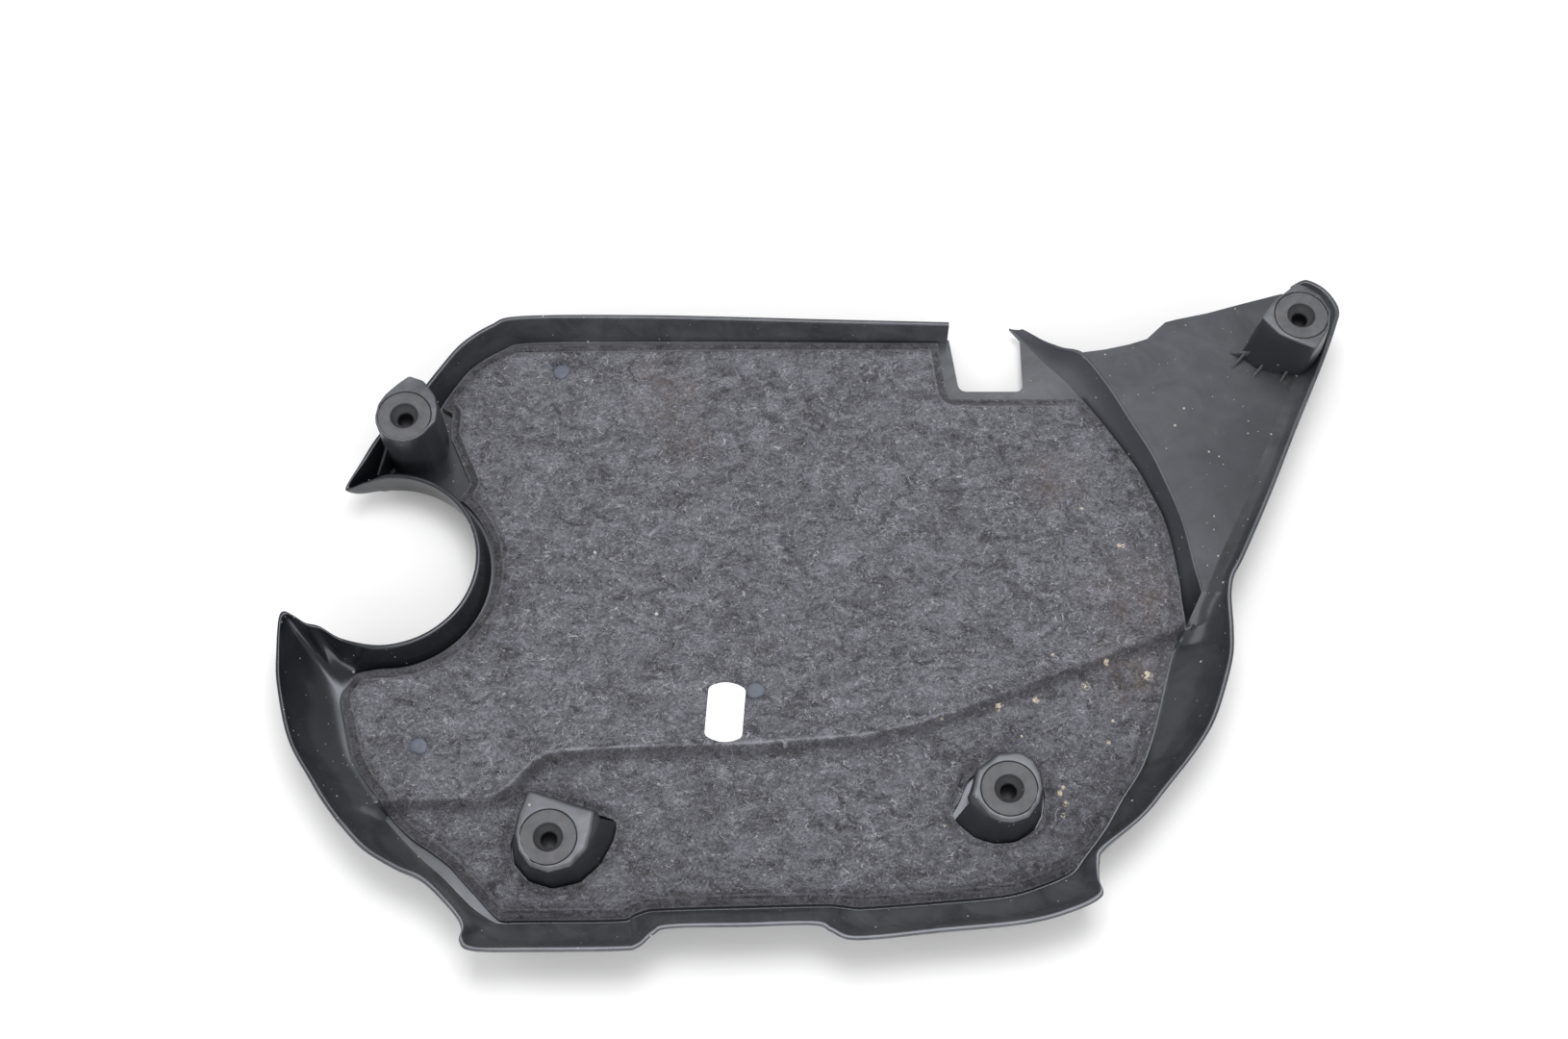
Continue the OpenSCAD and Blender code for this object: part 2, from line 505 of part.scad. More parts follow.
horn_first = bays * (len(back_stations) - 2);
horn_last = bays * (len(back_stations) + len(horn_stations) + len(horn_tip_stations) - 1);
module towers() {
    within_skirt(horn_first, horn_last, [placed([left_x + 120, 40]), placed([left_x + 120, 150])]) {
        union() {
            tower(horn_tower, horn_top, horn_foot, horn_tower_top, main_z + 0.5, [90, 35]);
            rib(horn_tower + [-10, -7], horn_tower + [-16, -21], main_floor - 0.3, horn_tower_top - 15,
                cutout_rim - 6, rib_thickness);
        }
    }
    within_skirt(len(skirt) - 1 - 8 * bays, len(skirt) - 1,
                 [placed([right_x - 71.5, 171]), placed([right_x - 71.5, 60])])
        tower(wing_tower, wing_top_outline, wing_foot_outline, wing_tower_top, wing_level + 0.5, [125, 35]);
    for (g = gusset_lines)
        rib(wing_tower + g[0], wing_tower + g[1], wing_top - 0.5, wing_top + gusset_height, wing_top,
            gusset_thickness);
    tower(front_left_tower, front_left_top, front_left_foot, front_tower_top, 0.5, [71, 45]);
    tower(front_right_tower, front_right_top, front_right_foot, front_tower_top, 0.5, [170, 30]);
}

// Heat stakes that hold the felt: a pin through it and a melted head on top
stakes = [placed([-139.5, 135]), placed([-35.5, -45]), placed([-200.5, -74])];
pad_top = main_floor + felt_thickness;
module stake(place) {
    translate([place[0], place[1], main_floor - 1]) cylinder(r = pin_r, h = felt_thickness + 1.2, $fn = 32);
    translate([place[0], place[1], pad_top]) rotate_extrude($fn = 32) polygon(
        [[0, 0], [head_r, 0], [0.95 * head_r, 0.35 * head_height], [0.75 * head_r, 0.75 * head_height],
         [0.4 * head_r, head_height], [0, head_height]]);
}

// The moulded skin with its towers, fitted to the overall length and depth
module skin() {
    resize([cover_length, cover_depth, 0]) difference() {
        union() {
            moulded_wall(skirt);
            moulded_wall(slope);
            stepped_sheet(0, wall) polygon(panel_outline);
            translate([0, 0, wing_level]) linear_extrude(wall) polygon(wing_outline);
            towers();
        }
        notch_cut();
    }
}
module cover_shell() {
    color("#26272b") difference() {
        union() {
            skin();
            for (s = stakes) stake(s);
        }
        seats();
    }
}

// The felt follows the walls at each station's own distance
felt_tower_gap = 1.5;
horn_pocket = [for (p = [[-55.5, 31], [7.5, 27], [18.5, 20], [18.5, 6], [30.5, -21], [28.5, -25],
                         [19.5, -39], [-55.5, -39]]) horn_tower + p];
module tower_opening(place, foot) {
    translate(place) polygon(grown(foot, felt_tower_gap));
}
module felt_outline() {
    difference() {
        polygon([for (s = panel_stations) inset(s, wall + s[FELT])]);
        polygon(rounded(notch_corners(felt_notch_margin, notch_r)));
        translate([notch_middle, notch_floor - felt_notch_margin]) square([80, 80]);
        polygon(horn_pocket);
        tower_opening(front_left_tower, front_left_foot);
        tower_opening(front_right_tower, front_right_foot);
        for (s = stakes) translate(s) circle(r = pin_r + seat_gap, $fn = 24);
    }
}
module felt_pad() {
    color("#4c4c52") resize([0, 0, 0]) stepped_sheet(front_floor, felt_thickness) felt_outline();
}

// A rubber grommet with a blind socket for a ball stud; its disc's top lies at z 0
module grommet() {
    plate_under = disc_thickness + seat_plate;
    neck_foot = funnel_depth + neck_length;
    ball_z = neck_foot + sqrt(ball_r * ball_r - neck_r * neck_r);
    floor_z = ball_z + ball_r;
    body_foot = floor_z + 2;
    socket = [for (a = [asin(neck_r / ball_r) : 12 : 174]) [ball_r * sin(a), -ball_z + ball_r * cos(a)]];
    rotate_extrude($fn = 64) polygon(concat(
        [[funnel_r, 0], [neck_r, -funnel_depth], [neck_r, -neck_foot]], socket,
        [[0, -floor_z], [0, -body_foot], [waist_r - 2, -body_foot], [waist_r - 1, -body_foot + 1.5],
         [collar_r, -plate_under - 2], [collar_r, -plate_under - seat_gap / 2],
         [waist_r, -plate_under - seat_gap / 2], [waist_r, -disc_thickness], [disc_r, -disc_thickness],
         [disc_r, -0.4], [disc_r - 0.4, 0]]));
}
module grommet_at(place, top_z) {
    color("#3a3b3f") translate([place[0], place[1], top_z]) grommet();
}
module grommet_horn() { grommet_at(horn_tower, horn_tower_top); }
module grommet_wing() { grommet_at(wing_tower, wing_tower_top); }
module grommet_front_left() { grommet_at(front_left_tower, front_tower_top); }
module grommet_front_right() { grommet_at(front_right_tower, front_tower_top); }

// The bare label, with bowed ends, on the felt
label_place = stakes[1] + [-15, -11.5];
label_turn = -4;
module label() {
    half = label_width / 2;
    bow = [for (q = [-1 : 0.25 : 1]) [q * half, label_length / 2 + label_bow * (1 - q * q)]];
    outline = concat([for (p = bow) p], [for (p = bow) -p]);
    color("#f2f3f4") translate([label_place[0], label_place[1], pad_top]) rotate([0, 0, label_turn])
        linear_extrude(label_thickness) polygon(outline);
}

cover_shell();
felt_pad();
grommet_horn();
grommet_wing();
grommet_front_left();
grommet_front_right();
label();
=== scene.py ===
"""Engine cover with its engine side up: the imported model, dressed for a studio view.

Each sub-assembly is a class that holds its sizes in millimetres and builds its meshes
from surfaces worked out with numpy. Every mesh is in metres, in the frame of the model.
"""
from __future__ import annotations

import logging
import math
from dataclasses import dataclass, field
from enum import Enum
from functools import cache

import bmesh
import bpy
import numpy as np
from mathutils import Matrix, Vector
from mathutils.geometry import delaunay_2d_cdt

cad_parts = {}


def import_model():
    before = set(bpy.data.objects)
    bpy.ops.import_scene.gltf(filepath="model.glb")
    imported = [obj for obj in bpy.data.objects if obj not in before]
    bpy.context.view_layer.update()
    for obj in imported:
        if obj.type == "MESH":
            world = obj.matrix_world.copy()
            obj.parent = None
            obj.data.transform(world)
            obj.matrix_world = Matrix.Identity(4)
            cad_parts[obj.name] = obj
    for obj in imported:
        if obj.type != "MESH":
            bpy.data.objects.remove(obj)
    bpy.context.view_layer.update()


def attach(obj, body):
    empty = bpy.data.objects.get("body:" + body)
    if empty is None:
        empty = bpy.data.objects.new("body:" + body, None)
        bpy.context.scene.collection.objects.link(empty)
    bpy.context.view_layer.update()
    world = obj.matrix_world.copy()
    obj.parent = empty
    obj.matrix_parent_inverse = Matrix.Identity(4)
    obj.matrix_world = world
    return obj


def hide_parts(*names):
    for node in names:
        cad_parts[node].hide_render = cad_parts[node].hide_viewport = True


LOG = logging.getLogger("engine_cover")
MM = 0.001
PER_METRE = 1000.0
BODY = "root"
Array = np.ndarray
Object = bpy.types.Object
Material = bpy.types.Material
Socket = bpy.types.NodeSocket
Surface = tuple[Array, list[Array]]
Point = tuple[float, float]
Spot = tuple[float, float, float]


# Colours and shader nodes


def linear(hex_colour: str) -> tuple[float, float, float, float]:
    """Turn an sRGB hex value into linear RGBA.

    Args:
        hex_colour: six hex digits, with or without a leading hash sign.

    Returns:
        Red, green, blue and an alpha of 1, in linear light.
    """
    digits = hex_colour.lstrip("#")
    parts = [int(digits[i : i + 2], 16) / 255 for i in (0, 2, 4)]
    light = [c / 12.92 if c <= 0.04045 else ((c + 0.055) / 1.055) ** 2.4 for c in parts]
    return (light[0], light[1], light[2], 1.0)


class Shader:
    """A material's node tree, with one way to add a node and link it."""

    def __init__(self, name: str) -> None:
        """Make an empty tree with its output and its principled shader.

        Args:
            name: the material's name.
        """
        self.material = bpy.data.materials.new(name)
        self.material.use_nodes = True
        self.tree = self.material.node_tree
        self.tree.nodes.clear()
        self.surface = self.add("ShaderNodeBsdfPrincipled")
        self.output = self.add("ShaderNodeOutputMaterial", Surface=self.surface.outputs[0])

    def put(self, node: bpy.types.Node, **inputs: object) -> None:
        """Fill a node's inputs.

        Args:
            node: the node.
            inputs: sockets by name, with underscores for spaces or a number after "i",
                each a value or the socket that feeds it.
        """
        for key, value in inputs.items():
            number = key[1:]
            socket = node.inputs[int(number) if number.isdigit() else key.replace("_", " ")]
            if isinstance(value, Socket):
                self.tree.links.new(value, socket)
            else:
                socket.default_value = value

    def add(self, kind: str, settings: dict | None = None, **inputs: object) -> bpy.types.Node:
        """Add a node of a kind, with properties of the node itself and its inputs as in put.

        Args:
            kind: the node's type name.
            settings: properties of the node itself.
            inputs: what fills or feeds its sockets, as in put.

        Returns:
            The new node.
        """
        node = self.tree.nodes.new(kind)
        for key, value in (settings or {}).items():
            setattr(node, key, value)
        self.put(node, **inputs)
        return node

    def dress(self, **inputs: object) -> Material:
        """Fill the principled shader's inputs and give the finished material."""
        self.put(self.surface, **inputs)
        return self.material

    def place(self) -> Socket:
        """Give the object coordinates, in metres."""
        return self.add("ShaderNodeTexCoord").outputs["Object"]

    def upward(self) -> Socket:
        """Give how far a face looks up: 1 where it lies level, 0 where it stands upright."""
        normal = self.add("ShaderNodeNewGeometry").outputs["Normal"]
        return self.add("ShaderNodeSeparateXYZ", Vector=normal).outputs[2]

    def measured(self, name: str) -> Socket:
        """Give a number stored with the mesh's vertices."""
        return self.add("ShaderNodeAttribute", {"attribute_name": name}).outputs["Fac"]

    def noise(self, at: Socket, size_mm: float, detail: float = 3.0, rough: float = 0.55,
              distortion: float = 0.0) -> Socket:
        """Give a noise whose features are about size_mm wide, from 0 to 1."""
        return self.add("ShaderNodeTexNoise", Vector=at, Scale=PER_METRE / size_mm, Detail=detail,
                        Roughness=rough, Distortion=distortion).outputs["Fac"]

    def ramp(self, fac: Socket, low: float, high: float, from_value: float = 0.0,
             to_value: float = 1.0) -> Socket:
        """Map fac from low..high to from_value..to_value, clamped."""
        return self.add("ShaderNodeMapRange", {"clamp": True}, Value=fac, From_Min=low,
                        From_Max=high, To_Min=from_value, To_Max=to_value).outputs["Result"]

    def maths(self, operation: str, a: object, b: object = 0.0) -> Socket:
        """Combine two numbers or sockets with one arithmetic operation."""
        return self.add("ShaderNodeMath", {"operation": operation}, i0=a, i1=b).outputs[0]

    def times(self, *factors: object) -> Socket:
        """Multiply numbers or sockets.

        Args:
            factors: the numbers or sockets.

        Returns:
            Their product.
        """
        product = factors[0]
        for factor in factors[1:]:
            product = self.maths("MULTIPLY", product, factor)
        return product

    def most(self, *values: object) -> Socket:
        """Give the greatest of some numbers or sockets.

        Args:
            values: the numbers or sockets.

        Returns:
            The greatest of them.
        """
        greatest = values[0]
        for value in values[1:]:
            greatest = self.maths("MAXIMUM", greatest, value)
        return greatest

    def mix(self, fac: object, a: object, b: object) -> Socket:
        """Mix two colours by fac."""
        return self.add("ShaderNodeMix", {"data_type": "RGBA"}, i0=fac, i6=a, i7=b).outputs[2]

    def paint(self, under: object, amount: object, hex_colour: str) -> Socket:
        """Lay a colour over another, by amount."""
        return self.mix(amount, under, linear(hex_colour))

    def band(self, value: Socket, centre: float, outer: float, inner: float) -> Socket:
        """Give 1 where a value is within inner of a centre, falling to 0 at outer."""
        away = self.maths("ABSOLUTE", self.maths("SUBTRACT", value, centre))
        return self.ramp(away, outer, inner)

    def strands(self, at: Socket, layers: tuple[Spot, ...]) -> Socket:
        """Give curly hairs: the thin lines where a warped noise crosses its middle value.

        Args:
            at: the coordinates.
            layers: for each layer, about how far its hairs run before they turn, in
                millimetres, how wide a hair is, as a share of the noise's range, and a
                shift of the pattern, so that layers differ.

        Returns:
            1 in a hair and 0 between them.
        """
        found = []
        for size_mm, width, shift in layers:
            moved = self.add("ShaderNodeVectorMath", {"operation": "ADD"}, i0=at,
                             i1=(shift, 0.37 * shift, 0.0))
            line = self.noise(moved.outputs[0], size_mm, 1.6, 0.5, 1.4)
            found.append(self.band(line, 0.5, width, 0.3 * width))
        return self.most(*found)

    def spot(self, at: Socket, x_mm: float, y_mm: float, inner_mm: float,
             outer_mm: float) -> Socket:
        """Give 1 within inner_mm of an upright line through a place, falling to 0 at outer_mm.

        Args:
            at: the coordinates.
            x_mm: the line's place along the cover.
            y_mm: the line's place across the cover.
            inner_mm: the radius that is full.
            outer_mm: the radius where it ends.

        Returns:
            The spot's strength, from 0 to 1.
        """
        flat = self.add("ShaderNodeVectorMath", {"operation": "MULTIPLY"}, i0=at,
                        i1=(1.0, 1.0, 0.0))
        far = self.add("ShaderNodeVectorMath", {"operation": "DISTANCE"}, i0=flat.outputs[0],
                       i1=(x_mm * MM, y_mm * MM, 0.0))
        return self.ramp(far.outputs["Value"], outer_mm * MM, inner_mm * MM)

    def specks(self, at: Socket, every_mm: float, largest: float, share: float,
               channel: int = 0) -> Socket:
        """Give round specks: one in each cell every_mm wide, some left out, each its own size.

        Args:
            at: the coordinates.
            every_mm: the cells' width.
            largest: the largest speck's radius, as a share of the width.
            share: how many cells hold a speck, from 0 to 1.
            channel: which part of the cell's own colour is its chance.

        Returns:
            1 in a speck and 0 elsewhere.
        """
        cell = self.add("ShaderNodeTexVoronoi", {"feature": "F1"}, Vector=at,
                        Scale=PER_METRE / every_mm)
        chance = self.add("ShaderNodeSeparateColor", Color=cell.outputs["Color"]).outputs[channel]
        radius = self.ramp(chance, 1.0 - share, 1.0, 0.0, largest)
        return self.maths("LESS_THAN", cell.outputs["Distance"], radius)

    def bump(self, height: Socket, depth_mm: float, normal: Socket | None = None) -> Socket:
        """Turn a height into a normal, depth_mm deep where the height goes from 0 to 1.

        Args:
            height: the height, from 0 to 1.
            depth_mm: how high 1 is.
            normal: the normal to start from, if not the mesh's own.

        Returns:
            The new normal.
        """
        node = self.add("ShaderNodeBump", Height=height, Strength=1.0, Distance=depth_mm * MM)
        if normal is not None:
            self.put(node, Normal=normal)
        return node.outputs["Normal"]


# Finishes


@dataclass(frozen=True)
class MouldedPolyamide:
    """Black glass-filled polyamide, injection moulded with a satin face.

    The mould's fine grain spreads the gloss, handling leaves pale scuffs, and a thin
    film of dust greys what faces up. A veil of dust greys the walls too, thinned round a few
    places to paint shade there. Dried mud sits in patches round the places in mud_spots, and
    round some other places a deeper black and a thinner dust film paint shade.
    """

    name: str = "moulded_polyamide"
    slot: str = "moulded_shell"
    black: str = "#1a1b1e"
    # The colour of the painted shade laid round the spots of painted shade.
    deep: str = "#17181b"
    dust: str = "#96989c"
    speck: str = "#b9b7b0"
    scuff: str = "#8d8f92"
    mud: str = "#7d6a55"
    gleam: str = "#f0f4ff"
    refraction: float = 1.53
    roughness: float = 0.19
    film: float = 0.02
    veil: float = 0.0
    # Where the wall's veil thins, as painted shade: place, full and outer radius, and the share of
    # veil left at the middle.
    veil_shade_spots: tuple[tuple[float, float, float, float, float], ...] = (
        (-245, 20, 60, 190, 0.0), (210, -30, 50, 130, 0.5))
    # Spots of painted shade: place, reach and strength of each.
    painted_shade_spots: tuple[tuple[float, float, float, float], ...] = ()
    cloud_mm: float = 22.0
    speck_share: float = 0.35
    speck_layers: tuple[Spot, ...] = ((5.5, 0.12, 1.0), (2.2, 0.15, 0.3))
    scuffs: float = 0.1
    scuff_mm: float = 26.0
    scuff_layers: tuple[Point, ...] = ((0.5, 14.0), (2.2, 11.0))
    mud_amount: float = 0.0
    mud_spots: tuple[Spot, ...] = ()
    grain_mm: float = 0.6
    grain_depth_mm: float = 0.01
    warp_mm: float = 34.0
    warp_depth_mm: float = 0.3

    def mud_cover(self, s: Shader, at: Socket) -> Socket:
        """Give where mud sits: thin patches anywhere, and a crust round each of its places.

        Args:
            s: the shader.
            at: the coordinates.

        Returns:
            How much of the surface is mud, from 0 to 1.
        """
        patches = s.ramp(s.noise(at, 9.0, 6.0, 0.7, 1.2), 0.56, 0.74)
        crust = s.ramp(s.noise(at, 2.6, 6.0, 0.75, 1.0), 0.5, 0.66)
        near = [s.times(s.spot(at, x, y, 0.15 * reach, reach), 0.8, crust)
                for x, y, reach in self.mud_spots]
        return s.most(s.times(patches, self.mud_amount), *near)

    @cache
    def material(self) -> Material:
        """Build the shader once.

        Returns:
            The finished material.
        """
        s = Shader(self.name)
        at, upward = s.place(), s.upward()
        cloud = s.noise(at, self.cloud_mm, 5.0, 0.65, 0.8)
        film = s.times(s.ramp(upward, 0.5, 1.0),
                       s.ramp(cloud, 0.32, 0.7, 0.3 * self.film, 1.5 * self.film))
        veil = s.ramp(cloud, 0.3, 0.7, 0.6 * self.veil, 1.4 * self.veil)
        # Painted shade: the veil thins round these spots, so the walls there render darker.
        for x, y, inner, outer, least in self.veil_shade_spots:
            veil = s.times(s.ramp(s.spot(at, x, y, inner, outer), 1.0, 0.0, least, 1.0), veil)
        film = s.most(film, veil)
        black = linear(self.black)
        # Painted shade: round these spots the black turns deeper and the dust film thins.
        for x, y, reach, amount in self.painted_shade_spots:
            shade = s.times(s.spot(at, x, y, 0.3 * reach, reach), amount)
            black = s.paint(black, shade, self.deep)
            film = s.times(film, s.maths("SUBTRACT", 1.0, shade))
        tint = s.paint(black, film, self.dust)
        speck = s.most(*[s.specks(at, every, largest, share * self.speck_share)
                         for every, largest, share in self.speck_layers])
        speck = s.times(speck, s.ramp(upward, -0.2, 0.3))
        tint = s.paint(tint, s.times(speck, 0.75), self.speck)
        # Scuffs: thin lines from a stretched noise, turned two ways
        streaks = []
        for turn, stretch in self.scuff_layers:
            lines = s.add("ShaderNodeMapping", Vector=at, Rotation=(0.0, 0.0, turn),
                          Scale=(1.0, stretch, 1.0))
            streaks.append(s.ramp(s.noise(lines.outputs[0], self.scuff_mm, 5.0, 0.7), 0.66, 0.76))
        tint = s.paint(tint, s.times(s.most(*streaks), self.scuffs), self.scuff)
        mud = self.mud_cover(s, at)
        tint = s.paint(tint, mud, self.mud)
        gloss = s.ramp(s.noise(at, 14.0, 4.0, 0.6), 0.2, 0.8, self.roughness - 0.05,
                       self.roughness + 0.08)
        gloss = s.maths("ADD", gloss, s.times(s.maths("ADD", mud, speck), 0.4))
        grain = s.bump(s.noise(at, self.grain_mm, 2.0, 0.5), self.grain_depth_mm)
        warp = s.bump(s.noise(at, self.warp_mm, 2.0, 0.5), self.warp_depth_mm, grain)
        return s.dress(Base_Color=tint, Roughness=gloss, Normal=warp, IOR=self.refraction,
                       Specular_Tint=linear(self.gleam))


@dataclass(frozen=True)
class NeedleFelt:
    """Grey heather polyester needle felt, pressed in a tool.

    Curly fibres of pale, middle and dark grey, about 0.3 mm thick, lie every way over
    soft clouds 8 to 15 mm wide. It holds brown stains, crumbs and three white specks.
    """

    name: str = "needle_felt"
    slot: str = "needle_felt"
    cloud_dark: str = "#3b3b40"
    cloud_light: str = "#80808a"
    light: str = "#8f8f97"
    dark: str = "#36363b"
    hollow: str = "#28282c"
    bright: str = "#b4b4bb"
    border: str = "#323237"
    worn: str = "#8d8d95"
    # Colours of the painted highlight on the step's crest and of the painted shade below it.
    crest_highlight: str = "#9c9ca4"
    step_shade: str = "#2e2e33"
    trodden: str = "#27272b"
    stain: str = "#6b5a48"
    crumb: str = "#e6dac2"
    white: str = "#d9d9dc"
    cloud_mm: float = 9.0
    fine_mm: float = 1.6
    dark_hairs: tuple[Spot, ...] = ((3.6, 0.022, 0.31), (2.6, 0.02, 0.77))
    pale_hairs: tuple[Spot, ...] = ((4.6, 0.02, 0.05), (3.4, 0.018, 0.52), (5.8, 0.014, 0.93))
    bright_hairs: tuple[Spot, ...] = ((7.0, 0.009, 0.19), (5.0, 0.008, 0.64))
    seam_mm: float = 4.9
    ragged_mm: float = 1.2
    ragged_every_mm: float = 1.3
    stains: tuple[Spot, ...] = (
        (-84, 124, 26), (-70, 92, 18), (155, 5, 30), (152, -34, 26), (120, 70, 22))
    crumbs: tuple[Spot, ...] = (
        (151.0, 34.2, 2.4), (132.0, 54.9, 1.3), (140.1, -28.4, 1.8), (160.3, -34.6, 3.2),
        (129.4, -40.2, 2.7), (85.9, -51.5, 2.7), (104.2, -47.5, 2.2), (141.8, -58.6, 1.1),
        (138.7, -69.6, 1.4), (115.6, -92.9, 1.5), (113.6, -95.8, 2.0), (116.1, -101.2, 1.7),
        (114.4, -107.0, 1.5), (96.2, -66.6, 0.9), (113.0, -25.3, 1.2), (57.0, -59.1, 0.9),
        (57.2, -112.3, 1.0))
    lint: tuple[Spot, ...] = ((-117.2, 30.4, 0.9), (-84.9, -3.5, 0.8), (170.6, -50.8, 0.9))
    pressed: tuple[Spot, ...] = ((-139.5, 135, 8), (-35.5, -45, 8), (-200.5, -74, 8))

    def marks(self, s: Shader, at: Socket, places: tuple[Spot, ...], sharp: float) -> Socket:
        """Join soft spots, each its place and reach, with an uneven edge.

        Args:
            s: the shader.
            at: the coordinates.
            places: the spots.
            sharp: the share of its reach in which a spot is full.

        Returns:
            1 in a spot, 0 away from them all.
        """
        ragged = s.add("ShaderNodeTexNoise", Vector=at, Scale=PER_METRE / self.ragged_every_mm,
                       Detail=3.0)
        moved = s.add("ShaderNodeMix", {"data_type": "VECTOR"}, i0=self.ragged_mm * MM, i4=at,
                      i5=ragged.outputs["Color"])
        return s.most(*[s.spot(moved.outputs[1], x, y, sharp * reach, reach)
                        for x, y, reach in places])

    def border_and_step(self, s: Shader, at: Socket, tone: Socket, cloud: Socket,
                        fine: Socket) -> Socket:
        """Paint the pressed border and its seam, both faint on the right, and painted shade and
        highlight at the step.

        Args:
            s: the shader.
            at: the coordinates.
            tone: the felt's colour so far.
            cloud: the broad noise.
            fine: the fine noise.

        Returns:
            The colour with the border, the seam, and the step's painted shade and highlight.
        """
        across = s.add("ShaderNodeSeparateXYZ", Vector=at).outputs[0]
        left = s.ramp(across, 0.15, 0.09, 0.12, 1.0)
        edge = s.measured("edge_mm")
        tone = s.paint(tone, s.times(left, s.ramp(edge, 5.0, 4.0, 0.0, 0.5)), self.border)
        seam = s.times(s.band(edge, self.seam_mm, 0.7, 0.2), s.ramp(fine, 0.35, 0.6, 0.2, 0.7))
        tone = s.paint(tone, s.times(left, seam), self.worn)
        tone = s.paint(tone, s.times(left, s.ramp(edge, 0.9, 0.1, 0.0, 0.3)), self.worn)
        crest = s.measured("crest_mm")
        # Painted shade on the step's slope, just below the crest.
        step_shade_mask = s.times(s.ramp(crest, 0.4, -1.2), s.ramp(crest, -8.0, -3.0), 0.5)
        tone = s.paint(tone, step_shade_mask, self.step_shade)
        # Painted highlight along the step's crest, faded towards both ends.
        ends = s.times(s.ramp(across, -0.178, -0.15, 0.15, 1.0),
                       s.ramp(across, 0.1, 0.03, 0.05, 1.0))
        crest_highlight = s.times(s.band(crest, 0.5, 0.9, 0.2), s.ramp(cloud, 0.38, 0.6, 0.1, 0.75), ends)
        return s.paint(tone, crest_highlight, self.crest_highlight)

    @cache
    def material(self) -> Material:
        """Build the shader.

        Returns:
            The finished material.
        """
        s = Shader(self.name)
        at = s.place()
        drawn = s.add("ShaderNodeMapping", Vector=at, Rotation=(0.0, 0.0, 0.15),
                      Scale=(0.7, 1.0, 1.0)).outputs[0]
        cloud = s.noise(drawn, self.cloud_mm, 7.0, 0.74, 1.1)
        tone = s.mix(s.ramp(cloud, 0.36, 0.64), linear(self.cloud_dark), linear(self.cloud_light))
        wide = s.noise(at, 38.0, 3.0, 0.6, 0.8)
        tone = s.paint(tone, s.ramp(wide, 0.3, 0.5, 0.35, 0.0), self.cloud_dark)
        fine = s.noise(drawn, self.fine_mm, 4.0, 0.75, 0.9)
        tone = s.paint(tone, s.ramp(fine, 0.5, 0.36, 0.0, 0.8), self.dark)
        tone = s.paint(tone, s.ramp(fine, 0.55, 0.7, 0.0, 0.6), self.light)
        shade = s.strands(drawn, self.dark_hairs)
        tone = s.paint(tone, s.times(shade, 0.35), self.hollow)
        pale = s.strands(drawn, self.pale_hairs)
        tone = s.paint(tone, s.times(pale, s.ramp(cloud, 0.36, 0.6, 0.2, 0.8)), self.light)
        bright = s.times(s.strands(at, self.bright_hairs), 0.7)
        tone = s.paint(tone, bright, self.bright)
        tone = self.border_and_step(s, at, tone, cloud, fine)
        tone = s.paint(tone, s.times(self.marks(s, at, self.pressed, 0.45), 0.3), self.trodden)
        damp = s.ramp(s.noise(at, 9.0, 5.0, 0.65), 0.4, 0.68)
        tone = s.paint(tone, s.times(self.marks(s, at, self.stains, 0.1), damp, 0.5), self.stain)
        grit = s.ramp(s.noise(at, 1.5, 3.0, 0.7), 0.47, 0.53)
        tone = s.paint(tone, s.times(self.marks(s, at, self.crumbs, 0.5), grit, 0.95), self.crumb)
        tone = s.paint(tone, s.times(self.marks(s, at, self.lint, 0.7), 0.8), self.white)
        fuzz = s.maths("SUBTRACT", s.most(pale, bright), s.times(shade, 0.6))
        normal = s.bump(fine, 0.3, s.bump(fuzz, 0.22, s.bump(s.noise(at, 5.0, 4.0, 0.6), 0.9)))
        return s.dress(Base_Color=tone, Roughness=0.95, Specular_IOR_Level=0.2, Sheen_Weight=0.12,
                       Sheen_Roughness=0.5, Normal=normal)


@dataclass(frozen=True)
class GrommetRubber:
    """Black EPDM rubber, compression moulded: matt, with a grey bloom and a few pale specks."""

    name: str = "grommet_epdm"
    slot: str = "grommet_rubber"
    black: str = "#303134"
    bloom: str = "#77777b"
    speck: str = "#bdbcb8"

    @cache
    def material(self) -> Material:
        """Build the shader.

        Returns:
            The finished material.
        """
        s = Shader(self.name)
        at = s.place()
        cover = s.times(s.ramp(s.upward(), 0.3, 1.0),
                        s.ramp(s.noise(at, 6.0, 4.0, 0.6), 0.3, 0.8, 0.25, 0.6))
        tint = s.paint(linear(self.black), cover, self.bloom)
        speck = s.specks(at, 4.0, 0.07, 0.4, channel=1)
        tint = s.paint(tint, s.times(speck, 0.7), self.speck)
        return s.dress(Base_Color=tint, Roughness=0.62,
                       Normal=s.bump(s.noise(at, 0.9, 3.0, 0.6), 0.03))


@dataclass(frozen=True)
class LabelFilm:
    """White polypropylene film, cast: a bare matt sheet with a faint waviness."""

    name: str = "label_film"
    slot: str = "label_film"
    white: str = "#f4f5f6"
    worn: str = "#e6e6e6"

    @cache
    def material(self) -> Material:
        """Build the shader.

        Returns:
            The finished material.
        """
        s = Shader(self.name)
        at = s.place()
        wear = s.ramp(s.noise(at, 8.0, 3.0), 0.35, 0.7, 0.0, 0.25)
        return s.dress(Base_Color=s.paint(linear(self.white), wear, self.worn), Roughness=0.5,
                       Normal=s.bump(s.noise(at, 6.0, 2.0), 0.1))


@dataclass(frozen=True)
class StudioPaper:
    """Seamless white background paper: matt and even, white to the camera."""

    name: str = "studio_paper"
    white: str = "#f4f4f4"

    def material(self) -> Material:
        """Build the shader.

        Returns:
            The finished material.
        """
        return Shader(self.name).dress(Base_Color=linear(self.white), Roughness=0.9,
                                       Specular_IOR_Level=0.1)


# Meshes from arrays

